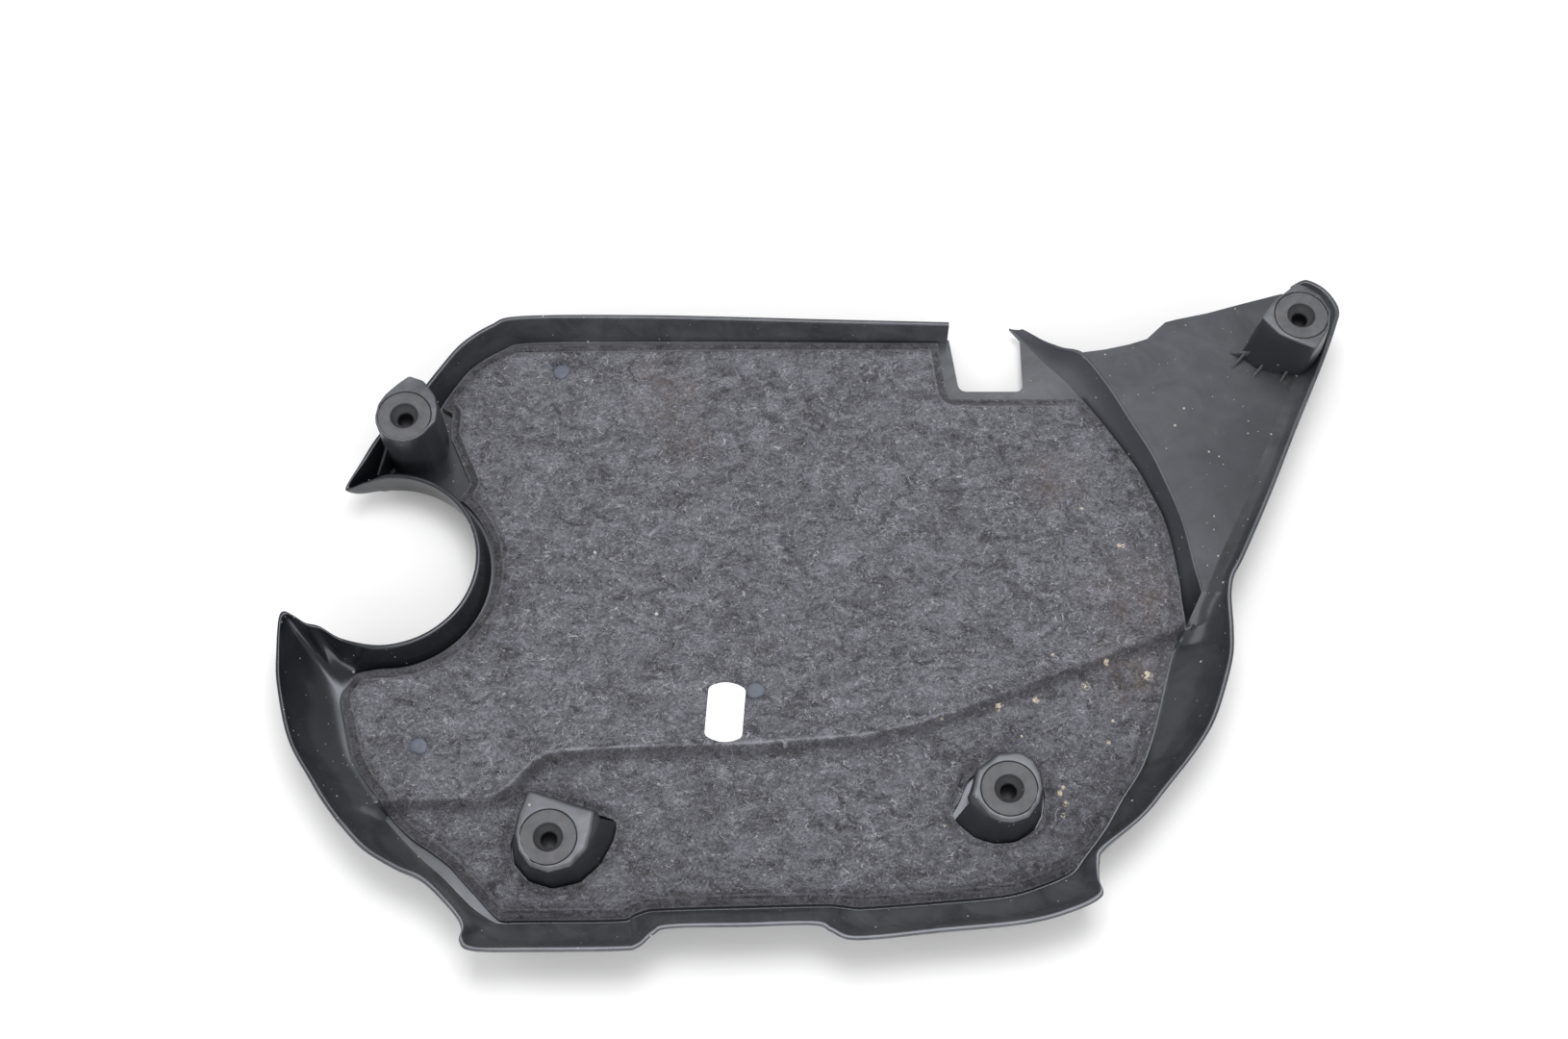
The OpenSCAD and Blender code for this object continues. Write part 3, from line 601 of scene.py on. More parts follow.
CREASE = 35.0
LATTICE_RISE = 0.866
LATTICE_CLEAR = 0.55


def smooth_faces(mesh: bpy.types.Mesh, crease: float) -> None:
    """Shade a mesh smooth, but for edges sharper than crease degrees."""
    mesh.polygons.foreach_set("use_smooth", np.ones(len(mesh.polygons), bool))
    mesh.set_sharp_from_angle(angle=math.radians(crease))


def make_piece(name: str, points: Array, faces: list[Array], material: Material,
               crease: float = CREASE, outwards: bool = True) -> Object:
    """Put arrays of points and faces into a mesh object.

    Args:
        name: the piece's name.
        points: vertices in millimetres, one row each.
        faces: arrays of vertex numbers, one array for each count of corners.
        material: the finish.
        crease: edges sharper than this many degrees stay sharp.
        outwards: whether to merge doubles and turn the faces outwards.

    Returns:
        The new object, at the origin and linked to the scene.
    """
    mesh = bpy.data.meshes.new(name)
    sizes = np.concatenate([np.full(len(f), f.shape[1]) for f in faces])
    loops = np.concatenate([f.ravel() for f in faces]).astype(np.int32)
    mesh.vertices.add(len(points))
    mesh.vertices.foreach_set("co", (points * MM).astype(np.float32).ravel())
    mesh.loops.add(len(loops))
    mesh.loops.foreach_set("vertex_index", loops)
    mesh.polygons.add(len(sizes))
    starts = np.concatenate([[0], np.cumsum(sizes)[:-1]])
    mesh.polygons.foreach_set("loop_start", starts.astype(np.int32))
    mesh.update(calc_edges=True)
    mesh.validate()
    if outwards:
        work = bmesh.new()
        work.from_mesh(mesh)
        bmesh.ops.remove_doubles(work, verts=work.verts, dist=1e-6)
        bmesh.ops.recalc_face_normals(work, faces=work.faces)
        work.to_mesh(mesh)
        work.free()
    smooth_faces(mesh, crease)
    mesh.materials.append(material)
    piece = bpy.data.objects.new(name, mesh)
    bpy.context.scene.collection.objects.link(piece)
    return piece


def loft(rings: Array, closed: bool = False) -> Surface:
    """Join rings of points to a skin: point (i, j) is joined to its neighbours along i and round j.

    Args:
        rings: points as an array of rings, points in a ring, and 3.
        closed: whether the last ring meets the first; if not, both ends get a cap.

    Returns:
        The points and the face arrays.
    """
    count, around = rings.shape[:2]
    steps = count if closed else count - 1
    i = np.repeat(np.arange(steps), around)
    j = np.tile(np.arange(around), steps)
    k, n = (j + 1) % around, (i + 1) % count
    sides = np.stack([i * around + j, i * around + k, n * around + k, n * around + j], 1)
    faces = [sides]
    if not closed:
        start = np.arange(around)[::-1]
        faces += [start[None], (start[::-1] + (count - 1) * around)[None]]
    return rings.reshape(-1, 3), faces


def cut(piece: Object, points: Array, faces: list[Array], keep_inside: bool = False) -> None:
    """Take a closed form out of a piece, or keep only what lies in it, with an exact boolean.

    Args:
        piece: the piece, changed in place.
        points: the form's vertices, in millimetres.
        faces: the form's face arrays.
        keep_inside: whether what lies in the form stays, and the rest goes.
    """
    tool = make_piece("tool", points, faces, piece.data.materials[0])
    change = piece.modifiers.new("cut", "BOOLEAN")
    change.operation = "INTERSECT" if keep_inside else "DIFFERENCE"
    change.solver, change.object = "EXACT", tool
    bpy.context.view_layer.update()
    graph = bpy.context.evaluated_depsgraph_get()
    solved = bpy.data.meshes.new_from_object(piece.evaluated_get(graph))
    piece.modifiers.clear()
    piece.data = solved
    smooth_faces(solved, CREASE)
    bpy.data.objects.remove(tool)


def batches(count: int, size: int = 4000) -> list[Array]:
    """Split row numbers into runs of about size, which keeps the tables of distances small."""
    return np.array_split(np.arange(count), max(1, count // size))


def inside(points: Array, loop: Array) -> Array:
    """Say which points lie in a closed loop, by counting the crossings of a ray along +X.

    Args:
        points: the points, in plan.
        loop: the loop's corners.

    Returns:
        True for each point that lies inside.
    """
    found = np.zeros(len(points), bool)
    a, b = loop, np.roll(loop, -1, 0)
    for part in batches(len(points)):
        x, y = points[part, 0, None], points[part, 1, None]
        spans = (a[:, 1] > y) != (b[:, 1] > y)
        rise = np.where(b[:, 1] == a[:, 1], 1.0, b[:, 1] - a[:, 1])
        at = a[:, 0] + (y - a[:, 1]) * (b[:, 0] - a[:, 0]) / rise
        found[part] = (spans & (x < at)).sum(1) % 2 == 1
    return found


def distance_to(points: Array, path: Array, closed: bool = True) -> tuple[Array, Array]:
    """Measure each point's distance to a path of straight pieces.

    Args:
        points: the points, in plan.
        path: the path's corners.
        closed: whether the path's end meets its start.

    Returns:
        The distances, and for each point the side of the nearest piece: 1 left, -1 right.
    """
    a = path if closed else path[:-1]
    b = np.roll(path, -1, 0) if closed else path[1:]
    d = b - a
    length2 = np.maximum((d * d).sum(1), 1e-9)
    far = np.empty(len(points))
    side = np.empty(len(points))
    for part in batches(len(points)):
        p = points[part, None]
        t = np.clip(((p - a) * d).sum(2) / length2, 0, 1)
        gap = p - (a + d * t[..., None])
        reach = np.hypot(gap[..., 0], gap[..., 1])
        near = reach.argmin(1)
        rows = np.arange(len(part))
        far[part] = reach[rows, near]
        side[part] = np.sign(d[near, 0] * gap[rows, near, 1] - d[near, 1] * gap[rows, near, 0])
    return far, side


def resample(loop: Array, spacing: float, closed: bool = True) -> Array:
    """Put points at even steps of about spacing along a path.

    Args:
        loop: the path's corners.
        spacing: about how far apart the points are.
        closed: whether the path's end meets its start.

    Returns:
        The new points.
    """
    path = np.vstack([loop, loop[:1]]) if closed else loop
    run = np.concatenate([[0], np.cumsum(np.hypot(*np.diff(path, axis=0).T))])
    count = max(4, int(run[-1] / spacing))
    at = np.linspace(0, run[-1], count, endpoint=not closed)
    return np.stack([np.interp(at, run, path[:, 0]), np.interp(at, run, path[:, 1])], 1)


def filled(outline: Array, holes: list[Array], spacing: float) -> tuple[Array, Array]:
    """Fill a plan outline with triangles on a lattice of equal triangles.

    Args:
        outline: the outer loop.
        holes: inner loops to leave out.
        spacing: the lattice's step.

    Returns:
        The plan points and the triangles, anticlockwise.
    """
    low, high = outline.min(0), outline.max(0)
    rows = np.arange(low[1], high[1], spacing * LATTICE_RISE)
    cols = np.arange(low[0], high[0], spacing)
    x, y = np.meshgrid(cols, rows)
    x = x + (np.arange(len(rows)) % 2)[:, None] * spacing / 2
    lattice = np.stack([x.ravel(), y.ravel()], 1)
    clear = LATTICE_CLEAR * spacing
    keep = inside(lattice, outline) & (distance_to(lattice, outline)[0] > clear)
    for hole in holes:
        keep &= ~inside(lattice, hole) & (distance_to(lattice, hole)[0] > clear)
    loops = [outline, *holes]
    points = np.vstack([*loops, lattice[keep]])
    edges, start = [], 0
    for loop in loops:
        ids = start + np.arange(len(loop))
        edges.append(np.stack([ids, np.roll(ids, -1)], 1))
        start += len(loop)
    result = delaunay_2d_cdt([Vector(p) for p in points], np.vstack(edges).tolist(), [], 0, 1e-6)
    flat = np.array([tuple(p) for p in result[0]])
    triangles = np.array([f for f in result[2] if len(f) == 3])
    middle = flat[triangles].mean(1)
    keep = inside(middle, outline)
    for hole in holes:
        keep &= ~inside(middle, hole)
    triangles = triangles[keep]
    a, b, c = flat[triangles].transpose(1, 0, 2)
    u, v = b - a, c - a
    turned = u[:, 0] * v[:, 1] - u[:, 1] * v[:, 0] < 0
    triangles[turned] = triangles[turned][:, ::-1]
    used, renumbered = np.unique(triangles, return_inverse=True)
    return flat[used], renumbered.reshape(-1, 3)


def at_height(flat: Array | tuple[Point, ...], height: Array | float) -> Array:
    """Give plan points a height."""
    return np.column_stack([flat, np.broadcast_to(height, len(flat))])


def slab(flat: Array, triangles: Array, top: Array, bottom: Array) -> Surface:
    """Close a filled outline to a solid: a top, a bottom and a side along its free edges.

    Args:
        flat: the plan points.
        triangles: the triangles between them, anticlockwise.
        top: each point's height on the top.
        bottom: each point's height on the bottom.

    Returns:
        The points and the face arrays.
    """
    count = len(flat)
    points = np.vstack([at_height(flat, top), at_height(flat, bottom)])
    edges = np.vstack([triangles[:, [0, 1]], triangles[:, [1, 2]], triangles[:, [2, 0]]])
    ordered = np.sort(edges, 1)
    _, first, seen = np.unique(ordered, axis=0, return_index=True, return_counts=True)
    rim = edges[first[seen == 1]]
    sides = np.stack([rim[:, 1], rim[:, 0], rim[:, 0] + count, rim[:, 1] + count], 1)
    return points, [triangles, triangles[:, ::-1] + count, sides]


def on_circle(centre: Point, radius: Array | float, turns: Array, height: Array | float) -> Array:
    """Give the points at a radius, a turn and a height about an upright axis."""
    x, y = centre[0] + radius * np.cos(turns), centre[1] + radius * np.sin(turns)
    return np.stack([x, y, np.broadcast_to(height, x.shape)], -1)


def full_turn(steps: int) -> Array:
    """Give evenly spaced turns once round, in radians."""
    return np.linspace(0, 2 * np.pi, steps, endpoint=False)


def lathe(profile: Array, centre: Point, steps: int = 96) -> Surface:
    """Turn a closed profile of radius and height about an upright axis."""
    rings = on_circle(centre, profile[:, 0], full_turn(steps)[:, None], profile[:, 1])
    return loft(rings, closed=True)


def lattice_noise(points: Array, size: float, seed: int) -> Array:
    """Give a smooth seeded noise from -1 to 1: values on a square lattice, eased between.

    Args:
        points: the points, in plan.
        size: the lattice's step.
        seed: the seed of its random values.

    Returns:
        One value for each point.
    """
    table = np.random.default_rng(seed).uniform(-1, 1, (64, 64))
    cell = points / size
    base = np.floor(cell).astype(int)
    t = cell - base
    t = t * t * (3 - 2 * t)
    i, j = base[:, 0] % 64, base[:, 1] % 64
    k, m = (i + 1) % 64, (j + 1) % 64
    low = table[i, j] * (1 - t[:, 0]) + table[k, j] * t[:, 0]
    high = table[i, m] * (1 - t[:, 0]) + table[k, m] * t[:, 0]
    return low * (1 - t[:, 1]) + high * t[:, 1]


def ease(value: Array | float, low: float, high: float) -> Array:
    """Go smoothly from 0 at low to 1 at high."""
    t = np.clip((np.asarray(value, float) - low) / (high - low), 0, 1)
    return t * t * (3 - 2 * t)


# The moulded shell


def coordinates(rows: list[list[float]]) -> Array:
    """Make a field of a table of coordinates, its own array in each set of sizes."""
    return field(default_factory=lambda: np.array(rows, float))


@dataclass
class ShellSizes:
    """Sizes of the moulded shell, in millimetres, and the stations along its walls.

    Each row of a wall is x, y, z of the rim's outer edge, x, y, z of the outer face's foot,
    how round the wall is between them (0 straight, 1 bowed) and how far the felt stays
    from its foot. All bows are scaled by softened.
    """

    wall: float = 2.5
    step_height: float = 5.0
    step_run: float = 6.0
    wing_level: float = 21.0
    rim_bevel: float = 0.75
    softened: float = 0.62
    root: float = 1.2
    overlap: float = 0.2
    crest_overlap: float = 1.2
    bays: int = 6
    cutout_r: float = 46.0
    cutout_draft: float = 3.0
    cutout_centre: Point = (-222.5, 20.0)
    cutout_rim: float = 27.0
    cutout_bow: float = 0.5
    cutout_felt: float = 1.6
    back: Array = coordinates([
        [66, 159, 24.5, 66, 157.5, 5, 1, 0.6], [0, 160.5, 25, 0, 158.5, 5, 1, 1.5],
        [-90, 162.5, 26, -90, 159, 5, 1, 3], [-160, 162, 26, -158, 158, 5, 1, 3.5],
        [-177, 156.5, 26, -174, 153, 5, 1, 2], [-192, 145, 26, -189.5, 142, 5, 1, 1.5],
        [-203, 129.5, 26, -200, 127, 5, 1, 1.5]])
    horn: Array = coordinates([
        [-213, 114, 26, -208, 112, 5, 1, 1.5], [-230.5, 91, 27, -220.5, 88, 5, 1, 1],
        [-239, 75, 26, -228, 77, 5, 1, 1], [-246, 60.5, 24, -233, 70, 5, 1, 1]])
    tip: Array = coordinates([
        [-240.5, -22.5, 27, -236, -31.5, 5, 0.6, 1.5], [-251.5, -16.5, 28, -239, -36, 5, 0.8, 1],
        [-258.5, -15, 29, -241, -38.5, 5, 0.9, 1], [-264.5, -11.5, 30, -242.5, -40.5, 5, 1, 1],
        [-269.5, -9.5, 30.5, -243.5, -42.5, 5, 1, 1], [-271.5, -14, 31, -244, -45, 5, 1, 1.5]])
    left: Array = coordinates([
        [-271, -30, 31, -244, -50, 5, 1, 2], [-269, -48, 31, -242.5, -58, 5, 1, 2],
        [-261, -76, 31, -236.5, -80, 5, 1, 2], [-248.5, -97, 31, -228.5, -94, 5, 1, 2],
        [-240.5, -109, 31, -222.5, -102, 5, 1, 2]])
    front: Array = coordinates([
        [-231.5, -120, 31, -217.5, -110, 0, 1, 2], [-220, -131.5, 31, -207, -121.5, 0, 1, 3],
        [-205, -140.5, 31, -197.5, -130.5, 0, 1, 5], [-191, -147, 31, -187, -139.5, 0, 1, 6],
        [-176, -161.5, 31, -173, -153, 0, 1, 5.5], [-171.5, -169, 31, -165.5, -158.5, 0, 1, 3],
        [-172, -175, 31, -162, -160.5, 0, 1, 2], [-166, -179.5, 31, -157, -162, 0, 1, 1],
        [-140, -180, 31, -140, -162, 0, 1, 0.8], [-98, -179.5, 31, -100, -161.5, 0, 1, 0.8],
        [-89, -178, 31, -93.5, -159.5, 0, 0.7, 0.8], [-82, -172, 31, -87, -157, 0, 0.2, 0.8],
        [-74, -169, 31, -79, -156, 0, 0, 0.8], [-40, -168.3, 31, -40, -155, 0, 0, 0.8],
        [-8, -167.5, 31, -4, -154, 0, 0, 0.8], [0, -170.5, 31, 5, -154.5, 0, 0.3, 0.8],
        [8, -174.2, 31, 13, -155.5, 0, 0.8, 0.8], [22, -174, 31, 24, -155, 0, 1, 0.8],
        [50, -171, 31, 50, -153, 0, 1, 0.8], [90, -167, 31, 86, -149.5, 0, 1, 0.8],
        [112, -161.5, 31, 106, -143.5, 0, 1, 0.8], [127, -154, 31, 116, -139, 0, 1, 0.8],
        [126.5, -146, 31, 120, -136.5, 0, 1, 0.8], [127, -138, 31, 122.5, -134, 0, 1, 0.8]])
    right: Array = coordinates([
        [130, -131, 31, 126, -129, 0, 1, 0.8], [149.5, -115, 31, 138, -113, 0, 1, 0.8],
        [162.5, -100, 31, 147, -98, 0, 1, 0.8], [176.5, -83, 31, 157.5, -82, 0, 1, 0.8],
        [186.5, -68, 31, 165, -64, 0, 1, 0.8], [193.5, -51, 31, 171, -44, 0, 1, 0.8],
        [199, -33, 31, 177, -24, 0, 1, 0.8], [200.5, -19, 31, 181, -17, 0, 1, 2.2],
        [200.7, -9, 31, 184.5, -10, 5, 1, 4]])
    flange: Array = coordinates([
        [201, 0, 31.5, 191.5, 3, 21, 1, 1], [203, 9, 32, 196, 12, 21, 1, 1],
        [209, 20, 32.5, 201.5, 24, 21, 1, 1], [225, 53, 33, 217.5, 56, 21, 1, 1],
        [242, 91, 33, 234.5, 94, 21, 1, 1], [259.5, 129, 33, 252.5, 132, 21, 1, 1],
        [269, 152, 33, 262, 153, 21, 1, 1], [271.5, 161, 33, 265, 160, 21, 1, 1],
        [269, 169, 33, 263, 165, 21, 1, 1], [263.5, 176, 33, 259.5, 170, 21, 1, 1],
        [255.5, 180, 33, 253.5, 173, 21, 1, 1], [248, 177.5, 30, 248.5, 171, 21, 1, 1]])
    slope: Array = coordinates([
        [186, -12, 7.9, 184.3, -11.5, 5, 0.5, 1], [187.5, -4, 14.1, 183.6, -3, 5, 0.5, 1],
        [189.5, 4, 23.1, 183, 5, 5, 0.5, 1], [187, 17, 23.1, 182, 19, 5, 0.5, 1],
        [182, 44.5, 23.1, 177.5, 47.5, 5, 0.5, 1], [172, 77.5, 23.1, 168, 75.5, 5, 0.5, 1],
        [160.5, 101, 23.1, 154.5, 99, 5, 0.5, 1], [149, 123.5, 23.1, 140.5, 120, 5, 0.5, 1],
        [137, 141, 23.1, 129, 135, 5, 0.5, 1], [126, 146.5, 19.6, 119, 145, 5, 0.5, 1],
        [117, 152.5, 16.1, 111, 154, 5, 0.5, 1], [108, 160, 13.1, 103, 163, 5, 0.5, 1]])
    wing_edge: Array = coordinates([
        [248.6, 172], [248, 175], [244.5, 176.7], [224.5, 171], [203.5, 164.7], [186.5, 160.8],
        [181, 159.2], [176.5, 155], [170.5, 149], [161, 145.8], [148.5, 142.8], [136.5, 141]])
    wing_corner: Array = coordinates([[189.8, 3.4]])
    crest: Array = coordinates([
        [-245, -101.5], [-169, -100.8], [-162, -99], [-155, -94], [-143, -80.5], [-137, -77.5],
        [-128, -76.2], [-81, -73.8], [-40, -73], [18, -68.5], [45, -62], [68, -53.5],
        [130, -29.5], [200, -1]])

    def round_wall(self) -> Array:
        """Give the stations of the round cut-out's wall, clockwise from the upper horn's tip.

        Returns:
            The stations, rows as in the tables.
        """
        rim = self.cutout_rim
        turn, foot_turn, high = np.array(
            [(108, 99, rim - 3), (95, 93, rim - 1), *[(a, a, rim) for a in range(78, -93, -17)]]).T
        top = on_circle(self.cutout_centre, self.cutout_r, np.radians(turn), high)
        foot = on_circle(self.cutout_centre, self.cutout_r + self.cutout_draft,
                      np.radians(foot_turn), self.step_height)
        return np.hstack([top, foot, np.tile([self.cutout_bow, self.cutout_felt], (len(top), 1))])

    def skirt(self, bays: int) -> Array:
        """Give the whole skirt's stations, with bays parts between two of the tables' rows."""
        return smooth(np.vstack([self.back, self.horn, self.round_wall(), self.tip, self.left,
                                 self.front, self.right, self.flange]), bays)

    def panel_edge(self) -> Array:
        """Give the stations whose feet bound the panel: the skirt up to the flange, the slope.

        Returns:
            The stations, in order round the panel.
        """
        skirt = self.skirt(self.bays)
        low = skirt[:, 5] <= self.step_height + 0.001
        return np.vstack([skirt[low], smooth(self.slope, self.bays)[self.bays:]])

    def wing_height(self, points: Array) -> Array:
        """Give the height of the wing's underside, which is level."""
        return np.full(len(points), self.wing_level)

    def panel_level(self, points: Array) -> Array:
        """Give the height of the panel's underside: a step along the crest, eased on its slope."""
        far, side = distance_to(points, self.crest, closed=False)
        return self.step_height * (1 - ease(np.where(side < 0, far, 0), 0, self.step_run))


def smooth(stations: Array, bays: int) -> Array:
    """Put bays - 1 stations between each two, on a cubic through four; heights run straight.

    Args:
        stations: the rows of a table.
        bays: how many parts two rows' gap is split into.

    Returns:
        The rows, with the new ones between them.
    """
    count = len(stations)
    i = np.repeat(np.arange(count - 1), bays)
    t = np.tile(np.arange(bays) / bays, count - 1)[:, None]
    a, b = stations[np.maximum(i - 1, 0)], stations[i]
    c, d = stations[i + 1], stations[np.minimum(i + 2, count - 1)]
    bent = (b + t * (c - a) / 2 + t**2 * (a - 2.5 * b + 2 * c - d / 2)
            + t**3 * (-a / 2 + 1.5 * b - 1.5 * c + d / 2))
    straight = b + (c - b) * t
    keep_straight = np.isin(np.arange(stations.shape[1]), (2, 5, 6, 7))
    return np.vstack([np.where(keep_straight, straight, bent), stations[-1:]])


def bowed(q: Array | float, bow: Array) -> tuple[Array, Array]:
    """Give how far across and how far up a wall is at a share q of its way from the foot."""
    return (q + (np.sin(q * np.pi / 2) - q) * bow, q + (1 - np.cos(q * np.pi / 2) - q) * bow)


def outward(stations: Array) -> Array:
    """Give each station's plan direction from its foot to its rim."""
    return (stations[:, 0:2] - stations[:, 3:5]) / plan_reach(stations)


def plan_reach(stations: Array) -> Array:
    """Give how far each station's rim lies from its foot, in plan, as a column."""
    return np.hypot(*(stations[:, 0:2] - stations[:, 3:5]).T)[:, None]


def inset(stations: Array, distance: Array | float) -> Array:
    """Give the feet of the stations, moved in by a distance."""
    return stations[:, 3:5] - outward(stations) * np.reshape(distance, (-1, 1))


class Tower(Enum):
    """The four fixing towers, by where they stand."""

    HORN = "horn"
    WING = "wing"
    FRONT_LEFT = "front_left"
    FRONT_RIGHT = "front_right"


@dataclass
class TowerForm:
    """One fixing tower: its place, its heights and its outlines at the top and the foot.

    Both outlines are corners about the grommet's centre, read in the same turn.
    """

    place: Point
    top_z: float
    foot_z: float
    top: list[Point]
    foot: list[Point]
    edge_r: float = 0.8
    corner_deg: float = 5.0
    open_deg: Point = (0.0, 0.0)
    opening: float = 8.0
    disc_r: float = 13.6
    disc_thickness: float = 2.6
    plate: float = 2.6
    waist_r: float = 9.8
    seat_gap: float = 0.25
    wall: float = 2.2

    def reach(self, corners: list[Point], turns: Array) -> Array:
        """Give an outline's distance from the centre at each turn, with its corners eased.

        Each ray is met with every side of the polygon, and the result is averaged over a few
        degrees, which rounds the corners.

        Args:
            corners: the outline's corners about the centre.
            turns: the turns, in radians.

        Returns:
            One distance for each turn.
        """
        a = np.array(corners)
        b = np.roll(a, -1, 0)
        ray = np.stack([np.cos(turns), np.sin(turns)], 1)[:, None]
        d = b - a
        cross = ray[..., 0] * d[:, 1] - ray[..., 1] * d[:, 0]
        safe = np.where(np.abs(cross) < 1e-9, 1e-9, cross)
        far = (a[:, 0] * d[:, 1] - a[:, 1] * d[:, 0]) / safe
        along = (a[:, 0] * ray[..., 1] - a[:, 1] * ray[..., 0]) / safe
        hit = (far > 0) & (along >= -1e-9) & (along <= 1 + 1e-9)
        radius = np.where(hit, far, 0).max(1)
        width = max(1, int(round(self.corner_deg / 360 * len(turns))))
        window = np.hanning(2 * width + 3)[1:-1]
        window /= window.sum()
        wrapped = np.concatenate([radius[-width:], radius, radius[:width]])
        return np.convolve(wrapped, window, "valid")

    def side_opening(self) -> Surface:
        """Give the hollow that runs out of one side: corners that face that side go far out.

        The other corners lie inside the wall, so only the open side is cut.

        Returns:
            The points and the face arrays.
        """
        way, half = np.radians(self.open_deg)
        rings = []
        under = self.top_z - self.disc_thickness - self.plate
        for corners, z in ((self.top, under - 0.01), (self.foot, self.foot_z - 1)):
            p = np.array(corners)
            far = np.hypot(p[:, 0], p[:, 1])
            facing = p @ [math.cos(way), math.sin(way)] > far * math.cos(half)
            p = p * (1 + np.where(facing, self.opening, -self.wall - 0.3) / far)[:, None]
            rings.append(at_height(p + self.place, z))
        return loft(np.array(rings))

    def body(self, steps: int = 288) -> Surface:
        """Build the tower: outer walls, eased top edge, grommet seat, hole and hollow inside.

        The surface is radius and height round the centre: rings from the foot up the outer
        wall, over the edge, down into the seat and the hole, and down the hollow to the foot.

        Args:
            steps: how many columns of points go round.

        Returns:
            The points and the face arrays.
        """
        turns = full_turn(steps)
        top, foot = self.reach(self.top, turns), self.reach(self.foot, turns)
        rise = np.linspace(0, 1, 5) * (self.top_z - self.edge_r - self.foot_z)
        share = rise / (self.top_z - self.foot_z)
        rings = [(foot + (top - foot) * s, self.foot_z + z) for s, z in zip(share, rise)]
        r = self.edge_r
        for q in np.radians([18, 36, 54, 72, 90]):
            rings.append((top - r * (1 - math.cos(q)), self.top_z - r * (1 - math.sin(q))))
        even = np.ones(steps)
        seat_r, hole_r = self.disc_r + self.seat_gap, self.waist_r + self.seat_gap
        seat_z = self.top_z - self.disc_thickness
        under = seat_z - self.plate
        rings += [((seat_r + 0.25) * even, self.top_z), (seat_r * even, self.top_z - 0.25),
                  (seat_r * even, seat_z), (hole_r * even, seat_z), (hole_r * even, under)]
        inner_top = np.maximum(top - self.wall, hole_r + 0.4)
        rings += [(inner_top, under), (np.maximum(foot - self.wall, hole_r + 0.5), self.foot_z)]
        points = np.stack([on_circle(self.place, radius, turns, z) for radius, z in rings], 1)
        return loft(points, closed=True)


def thin_rib(start: Array | Point, end: Array | Point, heights: Spot, thickness: float) -> Surface:
    """Give a thin rib on end between two places.

    Args:
        start: where it starts, in plan.
        end: where it ends.
        heights: of its foot, and of its top at the start and at the end.
        thickness: its thickness, which narrows at the top.

    Returns:
        The points and the face arrays.
    """
    a, b = np.array(start, float), np.array(end, float)
    along = (b - a) / np.linalg.norm(b - a)
    side = np.array([-along[1], along[0]]) * thickness / 2
    foot, bevel = heights[0], 0.4
    rings = []
    for place, top in ((a, heights[1]), (b, heights[2])):
        shape = ((1, foot), (-1, foot), (-0.9, top - bevel), (-0.5, top), (0.5, top),
                 (0.9, top - bevel))
        rings.append([[*(place + side * across), z] for across, z in shape])
    return loft(np.array(rings))


def arc(radius: float, start: int, end: int) -> list[Point]:
    """Give points on a circle about the origin, every 15 degrees from start to end."""
    return [(radius * math.cos(math.radians(a)), radius * math.sin(math.radians(a)))
            for a in range(start, end + 1, 15)]


